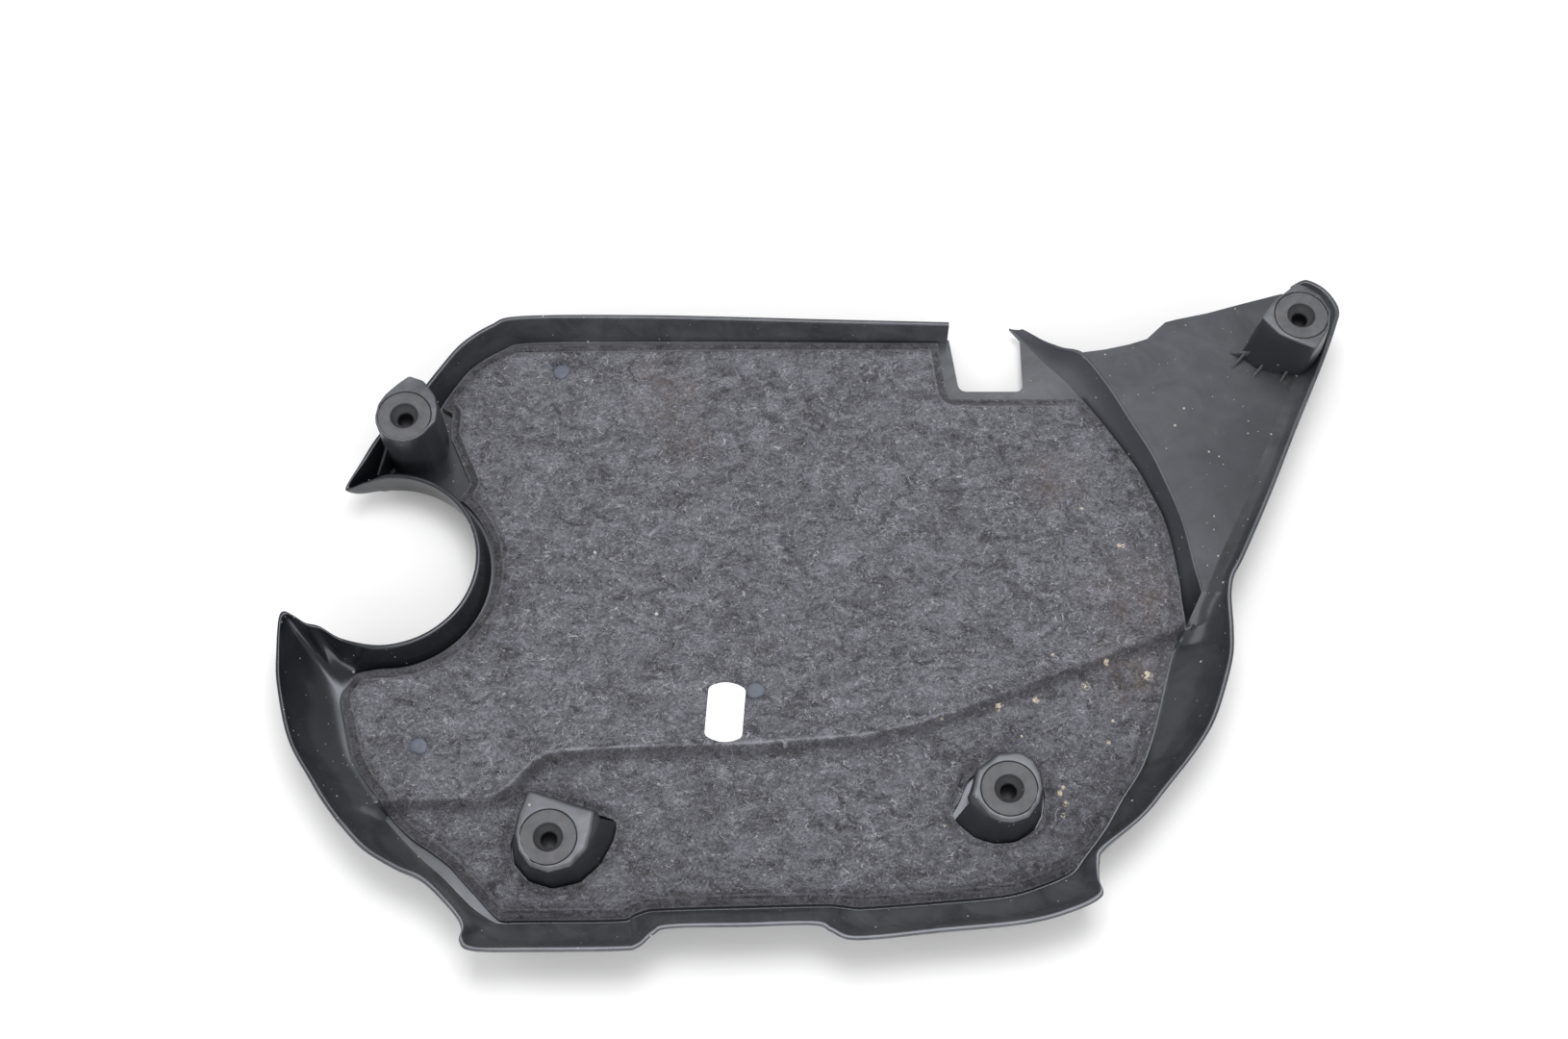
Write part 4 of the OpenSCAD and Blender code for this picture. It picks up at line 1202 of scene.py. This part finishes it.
@dataclass
class MouldedShell:
    """The moulded housing: walls, panel, wing, towers, heat stakes and small ribs."""

    sizes: ShellSizes = field(default_factory=ShellSizes)
    # The shell's finish thins its veil round two default spots, painted shade at the cut-out and at
    # the skirt's right end.
    finish: MouldedPolyamide = MouldedPolyamide(veil=0.2, speck_share=0.5)
    # The wing's finish paints shade round two spots: by the slope's top corner and over the wing's
    # lower right.
    wing_finish: MouldedPolyamide = MouldedPolyamide(
        name="moulded_polyamide_wing", black="#25272b", film=0.09, roughness=0.37,
        speck_share=0.6, mud_amount=0.1, mud_spots=((192, -2, 16), (208, 20, 12), (250, 120, 12)),
        painted_shade_spots=((192, -4, 26, 1.0), (232, 60, 75, 0.85)))
    # The slope's finish paints shade round one spot by the wing's corner.
    slope_finish: MouldedPolyamide = MouldedPolyamide(
        name="moulded_polyamide_slope", black="#414348", film=0.06, roughness=0.42, speck_share=0.5,
        painted_shade_spots=((190, -6, 26, 1.0),))
    tower_finish: MouldedPolyamide = MouldedPolyamide(
        name="moulded_polyamide_grained", black="#2b2d31", film=0.3, roughness=0.36,
        speck_share=0.3)
    stake_finish: MouldedPolyamide = MouldedPolyamide(
        name="melted_polyamide", black="#474d5a", film=0.12, roughness=0.5, speck_share=0.2,
        scuffs=0.05)
    stakes: tuple[Point, ...] = ((-139.5, 135.0), (-35.5, -45.0), (-200.5, -74.0))
    stake_r: float = 4.3
    stake_foot_r: float = 3.2
    stake_foot_z: float = 12.0
    stake_edge_z: float = 12.7
    stake_crown: float = 1.2
    rib_line: tuple[Point, Point] = ((-224.5, 84), (-230.5, 70))
    rib_z: Spot = (7.2, 32, 21)
    rib_thickness: float = 1.6
    gusset_lines: tuple[tuple[Point, Point], ...] = (
        ((-11, -8), (-20.5, -18.5)), ((1, -11), (-5.9, -20.5)), ((-21, -3), (-31, -13)),
        ((-22, -7), (-31.1, -3)))
    gusset_height: float = 8.0
    gusset_thickness: float = 1.5
    horn_heart: tuple[Point, ...] = ((-151.5, 40), (-151.5, 150))
    wing_heart: tuple[Point, ...] = ((200, 171), (200, 60))
    room_lean: float = 8.0
    room_z: float = 70.0
    notch_z: Point = (-5.0, 60.0)
    notch: tuple[Spot, ...] = (
        (71.5, 126.0, 4.5), (105.5, 126.0, 4.5), (105.0, 180.0, 0.0), (63.9, 180.0, 0.0))
    towers: dict[Tower, TowerForm] = field(default_factory=lambda: {
        Tower.HORN: TowerForm(
            (-214.5, 91), 47, 5.5,
            [*arc(14.8, 180, 330), (16.4, -3.2), (16.7, 4.6), (15, 11.5), (12.3, 15.3), (8.3, 20.4),
             (0.8, 23.2), (-5.1, 18.2), (-10.6, 12.5), (-13.8, 6.9)],
            [*arc(14.8, 180, 330), (17, -3.2), (17.2, 4.6), (15.8, 11.8), (13, 15.8), (8.8, 19.9),
             (1.6, 21.8), (-5.1, 17.6), (-10.6, 12.5), (-13.8, 6.9)], edge_r=1.1, corner_deg=3.5,
            open_deg=(90.0, 35.0)),
        Tower.WING: TowerForm(
            (244.5, 144), 57, 21.5,
            [(-20.5, -1.6), (-12.6, -11.1), (-3.7, -15.8), (3.3, -19), (6, -19.5), (9.6, -13.9),
             (13.6, -7.3), (15.3, 3), (10.7, 12.2), (3.5, 17.5), (-1, 18.9), (-5.2, 15.2),
             (-12, 9.8)],
            [(-26.7, -5.4), (-18.9, -12.6), (-8.9, -15.8), (3, -17), (7.1, -16.5), (12, -12.9),
             (15.6, -7.3), (16.5, 3), (12, 12.2), (3.5, 18.5), (-2, 19.9), (-7, 16.2),
             (-15, 10.8)],
            edge_r=1.1, corner_deg=2.5, open_deg=(125.0, 35.0)),
        Tower.FRONT_LEFT: TowerForm(
            (-133.5, -124), 27, 0.5,
            [(-10.6, 23.8), (-14.6, 12.2), (-16.3, 1.9), (-14.2, -6.7), (-8.6, -14.5), (0.6, -17.6),
             (11.8, -14.5), (19, -5.9), (21.3, 4.3), (22.1, 13.4)],
            [(-13, 25), (-17, 13), (-20.2, 1.9), (-18.8, -6.5), (-11.3, -14.8), (1, -18.6),
             (13.8, -16), (23.5, -8), (30.5, 4.3), (33, 14.5)],
            edge_r=2.6, corner_deg=4.0, open_deg=(71.0, 45.0)),
        Tower.FRONT_RIGHT: TowerForm(
            (86.5, -100), 27, 0.5,
            [(3.7, 18.9), (-4.8, 17.9), (-15.2, 9.8), (-17.5, 0.2), (-18.6, -3), (-15, -8),
             (-10, -14.2), (-4.7, -16.6), (1.4, -17.2), (9.2, -14.4), (14.4, -7.2), (16.4, 0.2),
             (15.6, 8.2), (12.6, 14.7), (7.6, 18.3)],
            [(4, 20.5), (-6, 19.5), (-17.2, 11), (-22, 1), (-28, -7), (-25, -11.5),
             (-16.6, -18.6), (-6.3, -21.4), (4.6, -20), (14, -13.5), (17.8, -6), (19, 2.1),
             (18, 10), (14.2, 16.5), (9, 19.6)],
            edge_r=2.2, corner_deg=3.0, open_deg=(170.0, 30.0))})

    def section(self, stations: Array, rises: int = 14) -> Array:
        """Give the closed section of a moulded wall at every station.

        Up the outer face, the reach follows a quarter ellipse or a straight line as the
        roundness says; the rim turns over on a small radius, the inner face runs back at one
        wall's thickness, and a short root lies in the panel's edge.

        Args:
            stations: the wall's stations.
            rises: how many points go up each face.

        Returns:
            One ring of points for each station.
        """
        s = self.sizes
        run, rise = plan_reach(stations), (stations[:, 2] - stations[:, 5])[:, None]
        across, up = bowed(np.linspace(0, 1, rises)[None], stations[:, 6, None] * s.softened)
        b, w = s.rim_bevel, s.wall
        turn = np.radians([22.5, 45, 67.5, 90])[None]
        back = turn[:, ::-1]
        flat = (len(run), 2)
        legs = [(run * across, (rise - b) * up),
                (run - b * (1 - np.cos(turn)), rise - b * (1 - np.sin(turn))),
                (run - w + b * (1 - np.cos(back)), rise - b * (1 - np.sin(back))),
                (run * across[:, ::-1] - w, w + (rise - w - b) * up[:, ::-1]),
                (np.full(flat, -w - s.root), np.broadcast_to([[w - 0.15, 0.15]], flat))]
        reach, height = (np.hstack(leg) for leg in zip(*legs))
        plan = stations[:, None, 3:5] + outward(stations)[:, None] * reach[..., None]
        return np.concatenate([plan, (stations[:, 5, None] + height)[..., None]], 2)

    def outlines(self) -> tuple[Array, Array]:
        """Give the plan outlines of the panel and of the wing plate.

        Returns:
            The panel's loop and the wing's.
        """
        s = self.sizes
        skirt, slope = s.skirt(s.bays), smooth(s.slope, s.bays)
        flange = skirt[skirt[:, 5] > s.wing_level - 0.01]
        crest = slope[slope[:, 2] > s.wing_level + 2.0][::-1]
        wing = np.vstack([s.wing_corner, inset(flange, s.overlap), s.wing_edge,
                          crest[:, 0:2] - outward(crest) * s.crest_overlap])
        return inset(s.panel_edge(), s.overlap), wing

    def notch_loop(self, margin: float = 0.0) -> Array:
        """Give the notch's outline, widened by a margin, with its inner corners rounded.

        Args:
            margin: how much wider the loop is than the notch.

        Returns:
            The loop's points, from the back edge round to it again.
        """
        (x0, y0, r0), (x1, y1, r1), (x2, y2, _), (x3, y3, _) = self.notch
        corners = np.array([[x3 - margin, y3], [x0 - margin, y0 - margin],
                            [x1 + margin, y1 - margin], [x2 + margin, y2]])
        points = [corners[0]]
        for i, radius in ((1, r0), (2, r1)):
            a, b, c = corners[i - 1], corners[i], corners[i + 1]
            u, v = (a - b) / np.linalg.norm(a - b), (c - b) / np.linalg.norm(c - b)
            t = np.linspace(0, 1, 9)[:, None]
            start, end = b + u * radius, b + v * radius
            points += list((1 - t) ** 2 * start + 2 * t * (1 - t) * b + t**2 * end)
        points.append(corners[3])
        return np.array(points)

    def walls(self) -> list[Object]:
        """Build the skirt and the slope beside the wing.

        Returns:
            The skirt and the slope.
        """
        made = []
        for name, stations, finish in (("skirt", self.sizes.skirt(10), self.finish),
                                       ("slope", smooth(self.sizes.slope, 8), self.slope_finish)):
            points, faces = loft(self.section(stations))
            made.append(make_piece(name, points, faces, finish.material()))
        return made

    def plates(self) -> list[Object]:
        """Build the stepped panel and the flat wing, each a closed slab cut by the notch.

        Returns:
            The panel and the wing.
        """
        s = self.sizes
        panel, wing = self.outlines()
        tool = loft(np.stack([at_height(self.notch_loop(), z) for z in self.notch_z]))
        made = []
        for name, outline, finish, spacing, level in (
                ("panel", panel, self.finish, 4.0, s.panel_level),
                ("wing", wing, self.wing_finish, 6.0, s.wing_height)):
            flat, triangles = filled(outline, [], spacing)
            low = level(flat)
            body = slab(flat, triangles, low + s.wall, low)
            piece = make_piece(name, *body, finish.material())
            cut(piece, *tool)
            made.append(piece)
        return made

    def room(self, first: int, last: int, heart: tuple[Point, ...]) -> Surface:
        """Give the space inside a run of the skirt, up to its middle, leaning out above.

        Args:
            first: the run's first row, counted over all tables.
            last: the run's last row.
            heart: corners inside the cover that close the space.

        Returns:
            The points and the face arrays.
        """
        s = self.sizes
        run = s.skirt(s.bays)[first * s.bays : last * s.bays + 1]
        way, reach = outward(run), plan_reach(run)[:, 0]
        above = at_height(run[:, 0:2] + way * self.room_lean, self.room_z)
        rings = [np.vstack([above, at_height(heart, self.room_z)])]
        for q in np.linspace(1, 0, 6):
            across, up = bowed(q, run[:, 6] * s.softened)
            out = reach * across - s.wall / 2
            high = run[:, 5] + (run[:, 2] - run[:, 5]) * up
            level = run[0, 5] + (run[0, 2] - run[0, 5]) * q
            rings.append(np.vstack([at_height(run[:, 3:5] + way * out[:, None], high),
                                    at_height(heart, level)]))
        return loft(np.array(rings))

    def tower_pieces(self) -> list[Object]:
        """Build the four towers, open at one side, two of them trimmed to the walls round them.

        Returns:
            The towers, and the rib beside the horn's.
        """
        s = self.sizes
        before, rows = len(s.back) + len(s.horn), len(s.skirt(1))
        rooms = {Tower.HORN: self.room(len(s.back) - 2, before - 1, self.horn_heart),
                 Tower.WING: self.room(rows - 9, rows - 1, self.wing_heart)}
        made = []
        for tower, form in self.towers.items():
            piece = make_piece(f"tower_{tower.value}", *form.body(), self.tower_finish.material())
            cut(piece, *form.side_opening())
            if tower in rooms:
                cut(piece, *rooms[tower], keep_inside=True)
            made.append(piece)
        body = thin_rib(*self.rib_line, self.rib_z, self.rib_thickness)
        rib = make_piece("horn_rib", *body, self.finish.material())
        cut(rib, *rooms[Tower.HORN], keep_inside=True)
        return [*made, rib]

    def gusset_pieces(self) -> list[Object]:
        """Build the four low gussets at the foot of the wing's tower.

        Returns:
            The gussets.
        """
        top = self.sizes.wing_level + self.sizes.wall
        heights = (top - 0.5, top + self.gusset_height, top + 0.1)
        made = []
        for i, line in enumerate(self.gusset_lines):
            start, end = np.array(line) + self.towers[Tower.WING].place
            body = thin_rib(start, end, heights, self.gusset_thickness)
            made.append(make_piece(f"gusset_{i + 1}", *body, self.finish.material()))
        return made

    def stake_pieces(self) -> list[Object]:
        """Build the melted heads of the heat stakes: flat discs with a soft, uneven edge.

        Returns:
            The stakes' heads.
        """
        turns = full_turn(48)[:, None]
        bend = np.linspace(0, 1, 16)[None] * np.pi / 2
        made = []
        for i, place in enumerate(self.stakes):
            uneven = (1 + 0.05 * np.sin(2 * turns + i) + 0.04 * np.sin(3 * turns + 2 * i)
                      + 0.02 * np.sin(7 * turns))
            radius = self.stake_r * np.sin(bend) * uneven
            height = (self.stake_edge_z + self.stake_crown * np.cos(bend) ** 0.35
                      - 0.2 * np.exp(-(radius / 1.4) ** 2))
            dome = on_circle(place, radius, turns, height)
            foot = on_circle(place, self.stake_foot_r, turns, self.stake_foot_z)
            body = loft(np.concatenate([dome[:, 1:], foot], 1).transpose(1, 0, 2))
            made.append(make_piece(f"stake_{i + 1}", *body, self.stake_finish.material(),
                                   crease=60))
        return made

    def build(self) -> list[Object]:
        """Build every piece of the shell.

        Returns:
            The pieces, which together stand for the shell's node.
        """
        made = [*self.walls(), *self.plates(), *self.tower_pieces(), *self.gusset_pieces(),
                *self.stake_pieces()]
        for piece in made:
            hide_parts("cover_shell")
        return made


@dataclass
class SoundPad:
    """The needle-felt pad: pressed thin along its border, with a groove inside it.

    The groove is its depth, its place from the border's inner side and its width; the round
    edge and the dimples are a depth and a width; an unevenness is its height, size and seed.
    """

    shell: MouldedShell
    thickness: float = 6.0
    border: float = 4.6
    border_thickness: float = 3.6
    notch_margin: float = 6.5
    spacing: float = 2.1
    edge_step: float = 2.0
    wall_gap: float = 0.1
    tower_gap: float = 1.2
    notch_right: float = 135.0
    beyond: float = 190.0
    groove: Spot = (0.9, 0.6, 0.9)
    edge_round: Point = (1.0, 1.6)
    uneven: tuple[tuple[float, float, int], ...] = ((0.22, 9.0, 3), (0.18, 23.0, 5))
    dimple: Point = (0.7, 7.0)
    finish: NeedleFelt = NeedleFelt()
    pocket: tuple[Point, ...] = (
        (-270, 122), (-207, 118), (-196, 111), (-196, 97), (-184, 70), (-186, 66), (-195, 52),
        (-270, 52))

    def outline(self) -> Array:
        """Give the pad's outer loop, clear of the walls, before its cut-outs.

        Returns:
            The loop's points, at even steps.
        """
        near = self.shell.sizes.panel_edge()
        gap = self.shell.sizes.wall + near[:, 7] + self.wall_gap
        return resample(inset(near, gap), self.edge_step)

    def cutouts(self) -> list[Array]:
        """Give the loops of what is cut away: the notch's side, the horn and the front towers.

        Returns:
            One loop for each cut-out.
        """
        notch = self.shell.notch_loop(self.notch_margin)
        middle = len(notch) // 2
        beside = [[self.notch_right, notch[middle - 1, 1]], [self.notch_right, self.beyond]]
        loops = [resample(np.vstack([notch[:middle], beside]), self.edge_step),
                 resample(np.array(self.pocket, float), self.edge_step)]
        turns = full_turn(90)
        for tower in (Tower.FRONT_LEFT, Tower.FRONT_RIGHT):
            form = self.shell.towers[tower]
            low, high = form.reach(form.foot, turns), form.reach(form.top, turns)
            radius = low + (high - low) * 0.25 + self.tower_gap
            loops.append(on_circle(form.place, radius, turns, 0.0)[:, :2])
        return loops

    def measure(self, pad: Object, loops: list[Array]) -> None:
        """Store each vertex's distance from the pad's edge, and with a sign from the crest.

        Args:
            pad: the pad's object.
            loops: the edges to measure from.
        """
        count = len(pad.data.vertices)
        places = np.empty(count * 3, np.float32)
        pad.data.vertices.foreach_get("co", places)
        flat = places.reshape(-1, 3)[:, :2].astype(float) / MM
        edge = np.min([distance_to(flat, loop)[0] for loop in loops], 0)
        far, side = distance_to(flat, self.shell.sizes.crest, closed=False)
        for name, values in (("edge_mm", edge), ("crest_mm", far * side)):
            stored = pad.data.attributes.new(name, "FLOAT", "POINT")
            stored.data.foreach_set("value", values.astype(np.float32))

    def build(self) -> Object:
        """Build the pad: a lattice over its outline, lifted by its thickness.

        The thickness is the border's at the edge, dips in a groove at the border's width and
        rises to the full height inside, with soft unevenness and a dimple at each stake.

        Returns:
            The pad.
        """
        loop = self.outline()
        holes = self.cutouts()
        flat, triangles = filled(loop, holes, self.spacing)
        edge = distance_to(flat, loop)[0]
        for hole in holes:
            edge = np.minimum(edge, distance_to(flat, hole)[0] + 1.5)
        floor = self.shell.sizes.panel_level(flat) + self.shell.sizes.wall
        rise = ease(edge, self.border - 0.6, self.border + 2.4)
        height = self.border_thickness + (self.thickness - self.border_thickness) * rise
        deep, inwards, wide = self.groove
        height -= deep * np.exp(-((edge - self.border + inwards) / wide) ** 2)
        height -= self.edge_round[0] * (1 - ease(edge, 0.0, self.edge_round[1]))
        for deep, size, seed in self.uneven:
            height += deep * lattice_noise(flat, size, seed) * rise
        for x, y in self.shell.stakes:
            away = np.hypot(flat[:, 0] - x, flat[:, 1] - y)
            height -= self.dimple[0] * np.exp(-(away / self.dimple[1]) ** 2)
        height = np.minimum(height, self.thickness)
        points, faces = slab(flat, triangles, floor + height, floor)
        pad = make_piece("sound_pad", points, faces, self.finish.material(), crease=50)
        self.measure(pad, [loop, *holes[:2]])
        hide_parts("felt_pad")
        return pad


@dataclass
class Grommet:
    """A rubber grommet: disc, funnel, neck, blind ball socket, waist and collar."""

    tower: Tower
    form: TowerForm
    funnel_r: float = 6.9
    funnel_depth: float = 5.0
    neck_r: float = 4.0
    neck_length: float = 2.0
    ball_r: float = 5.1
    collar_r: float = 11.6
    funnel_lip: float = 0.8
    disc_lip: float = 0.6
    finish: GrommetRubber = GrommetRubber()

    def profile(self) -> Array:
        """Give the closed profile of radius and height, with the disc's top at height 0.

        Returns:
            Rows of radius and height, in order round the section.
        """
        f = self.form
        neck_foot = self.funnel_depth + self.neck_length
        ball_z = neck_foot + math.sqrt(self.ball_r**2 - self.neck_r**2)
        start = math.asin(self.neck_r / self.ball_r)
        a = np.linspace(start, math.radians(179), 16)
        socket = np.stack([self.ball_r * np.sin(a), -ball_z + self.ball_r * np.cos(a)], 1)
        under = f.disc_thickness + f.plate
        foot = ball_z + self.ball_r + 2
        lip = np.radians(np.linspace(0, 90, 5))[:, None]
        rim_in = np.hstack([self.funnel_r + self.funnel_lip * (1 - np.sin(lip)),
                            -self.funnel_lip * (1 - np.cos(lip))])
        neck, deep, collar = self.neck_r, self.funnel_depth, self.collar_r
        funnel = np.array([[neck + 1.3, -deep + 1.2], [neck + 0.3, -deep + 0.2],
                           [neck, -deep - 0.3], [neck, -neck_foot]])
        rest = np.array([[0.1, -foot], [f.waist_r - 2, -foot], [f.waist_r - 1, -foot + 1.5],
                         [collar, -under - 2], [collar, -under - 0.15],
                         [f.waist_r, -under - 0.15], [f.waist_r, -f.disc_thickness],
                         [f.disc_r, -f.disc_thickness]])
        edge = np.hstack([f.disc_r - self.disc_lip * (1 - np.cos(lip)),
                          -self.disc_lip * (1 - np.sin(lip))])
        return np.vstack([rim_in, funnel, socket, rest, edge])

    def build(self) -> Object:
        """Build the grommet at its tower.

        Returns:
            The grommet.
        """
        body = lathe(self.profile() + [0.0, self.form.top_z], self.form.place)
        piece = make_piece(f"grommet_face_{self.tower.value}", *body, self.finish.material(),
                           crease=40)
        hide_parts(f"grommet_{self.tower.value}")
        return piece


@dataclass
class BareLabel:
    """A bare white label with bowed ends and small round corners, stuck on the felt."""

    place: Point = (-50.5, -56.5)
    turn: float = -4.0
    width: float = 18.5
    length: float = 25.0
    bow: float = 3.0
    z: float = 13.45
    thickness: float = 0.3
    finish: LabelFilm = LabelFilm()

    def build(self) -> Object:
        """Build the label: its half length bows with the place across its width.

        Returns:
            The label.
        """
        u = np.linspace(-1, 1, 41)
        half = self.length / 2 + self.bow * (1 - u**2) - 1.2 * ease(np.abs(u), 0.9, 1.0) ** 2
        v = np.linspace(-1, 1, 49)[:, None]
        x = np.broadcast_to(u * self.width / 2, (len(v), len(u)))
        y = v * half
        z = self.z + 0.18 * np.cos(x / 5.0) * np.sin(y / 9.0) + self.thickness
        a = math.radians(self.turn)
        top = np.stack([self.place[0] + x * math.cos(a) - y * math.sin(a),
                        self.place[1] + x * math.sin(a) + y * math.cos(a), z], 2)
        rows, cols = top.shape[:2]
        i, j = np.meshgrid(np.arange(rows - 1), np.arange(cols - 1), indexing="ij")
        first = i * cols + j
        quads = np.stack([first, first + 1, first + cols + 1, first + cols], 2).reshape(-1, 4)
        count = rows * cols
        under = top.reshape(-1, 3) - [0, 0, self.thickness]
        grid = np.arange(count).reshape(rows, cols)
        ring = np.concatenate([grid[0], grid[1:, -1], grid[-1, -2::-1], grid[-2:0:-1, 0]])
        nxt = np.roll(ring, -1)
        sides = np.stack([ring, ring + count, nxt + count, nxt], 1)
        faces = [np.vstack([quads, quads[:, ::-1] + count, sides])]
        piece = make_piece("bare_label", np.vstack([top.reshape(-1, 3), under]), faces,
                           self.finish.material())
        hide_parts("label")
        return piece


@dataclass
class Studio:
    """A sweep of white paper, soft boxes above and in front, and the photograph's camera."""

    camera_at: Spot = (-21.5, -421.5, 1021.0)
    look_at: Spot = (-21.5, 56.0, -3.0)
    focal_px: float = 2250.0
    frame_px: float = 1630.0
    floor_reach: float = 6000.0
    floor_z: float = -0.05
    ambient: float = 0.5
    backdrop: float = 1.0
    lamps: tuple[tuple[str, Spot, Spot, Point, float], ...] = (
        ("overhead_box", (150, 520, 2000), (150, 300, 0), (1250, 1400), 2.6),
        ("key_box", (-10, 450, 1960), (0, 250, 0), (1010, 720), 4.6),
        ("front_box", (100, -1750, 800), (0, 0, 20), (2400, 1000), 2.4),
        ("left_box", (-1800, 0, 800), (0, 0, 20), (2000, 900), 1.8),
        ("right_box", (1800, 0, 800), (0, 0, 20), (2000, 700), 1.2))
    paper: StudioPaper = StudioPaper()

    def floor(self) -> Object:
        """Lay the paper under the part.

        Returns:
            The paper.
        """
        corners = np.array([[-1, -1], [1, -1], [1, 1], [-1, 1]]) * self.floor_reach
        piece = make_piece("paper_floor", at_height(corners, self.floor_z),
                           [np.array([[0, 1, 2, 3]])], self.paper.material(), outwards=False)
        return piece

    def lamp(self, name: str, at: Spot, aim: Spot, size_mm: Point, radiance: float) -> Object:
        """Hang a soft box that faces a point, its power worked out from radiance and area.

        Args:
            name: the lamp's name.
            at: its place.
            aim: the point it faces.
            size_mm: its width and height.
            radiance: how bright its face is.

        Returns:
            The lamp.
        """
        light = bpy.data.lights.new(name, "AREA")
        light.shape = "RECTANGLE"
        light.size, light.size_y = size_mm[0] * MM, size_mm[1] * MM
        light.energy = radiance * math.pi * light.size * light.size_y
        return self.aimed(name, light, at, aim)

    def aimed(self, name: str, data: bpy.types.ID, at: Spot, aim: Spot) -> Object:
        """Put a lamp or a camera at a place, in millimetres, and turn it to face another.

        Args:
            name: the object's name.
            data: the lamp or the camera.
            at: its place.
            aim: the point it faces.

        Returns:
            The object.
        """
        made = bpy.data.objects.new(name, data)
        made.location = Vector(at) * MM
        made.rotation_mode = "QUATERNION"
        made.rotation_quaternion = (Vector(aim) - Vector(at)).to_track_quat("-Z", "Y")
        bpy.context.scene.collection.objects.link(made)
        return made

    def lights(self) -> None:
        """Set the world's even light and the soft boxes."""
        world = bpy.data.worlds.new("studio")
        world.use_nodes = True
        tree = world.node_tree
        tree.nodes.clear()
        path = tree.nodes.new("ShaderNodeLightPath")
        pick = tree.nodes.new("ShaderNodeMixShader")
        out = tree.nodes.new("ShaderNodeOutputWorld")
        tree.links.new(path.outputs["Is Camera Ray"], pick.inputs[0])
        for slot, strength in ((1, self.ambient), (2, self.backdrop)):
            light = tree.nodes.new("ShaderNodeBackground")
            light.inputs["Color"].default_value = (1, 1, 1, 1)
            light.inputs["Strength"].default_value = strength
            tree.links.new(light.outputs[0], pick.inputs[slot])
        tree.links.new(pick.outputs[0], out.inputs["Surface"])
        bpy.context.scene.world = world
        for lamp in self.lamps:
            self.lamp(*lamp)

    def camera(self) -> Object:
        """Set the camera at the photograph's angle, its lens from the focal length in pixels.

        Returns:
            The camera.
        """
        data = bpy.data.cameras.new("camera")
        data.sensor_width = 36.0
        data.lens = self.focal_px / self.frame_px * data.sensor_width
        data.clip_start, data.clip_end = 0.01, 50
        camera = self.aimed("camera", data, self.camera_at, self.look_at)
        bpy.context.scene.camera = camera
        return camera

    def build(self) -> None:
        """Build the stage, its lights and the camera."""
        self.camera()
        self.floor()
        self.lights()
        bpy.context.scene.view_settings.view_transform = "Standard"


def main() -> None:
    """Build the dressed part and its studio, and log each piece."""
    logging.basicConfig(level=logging.INFO, format="%(name)s: %(message)s")
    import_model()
    Studio().build()
    shell = MouldedShell()
    pieces = shell.build()
    pieces.append(SoundPad(shell).build())
    pieces += [Grommet(tower, form).build() for tower, form in shell.towers.items()]
    pieces.append(BareLabel().build())
    for piece in pieces:
        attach(piece, BODY)
        LOG.info("%s: %d faces", piece.name, len(piece.data.polygons))


if __name__ == "__main__":
    main()
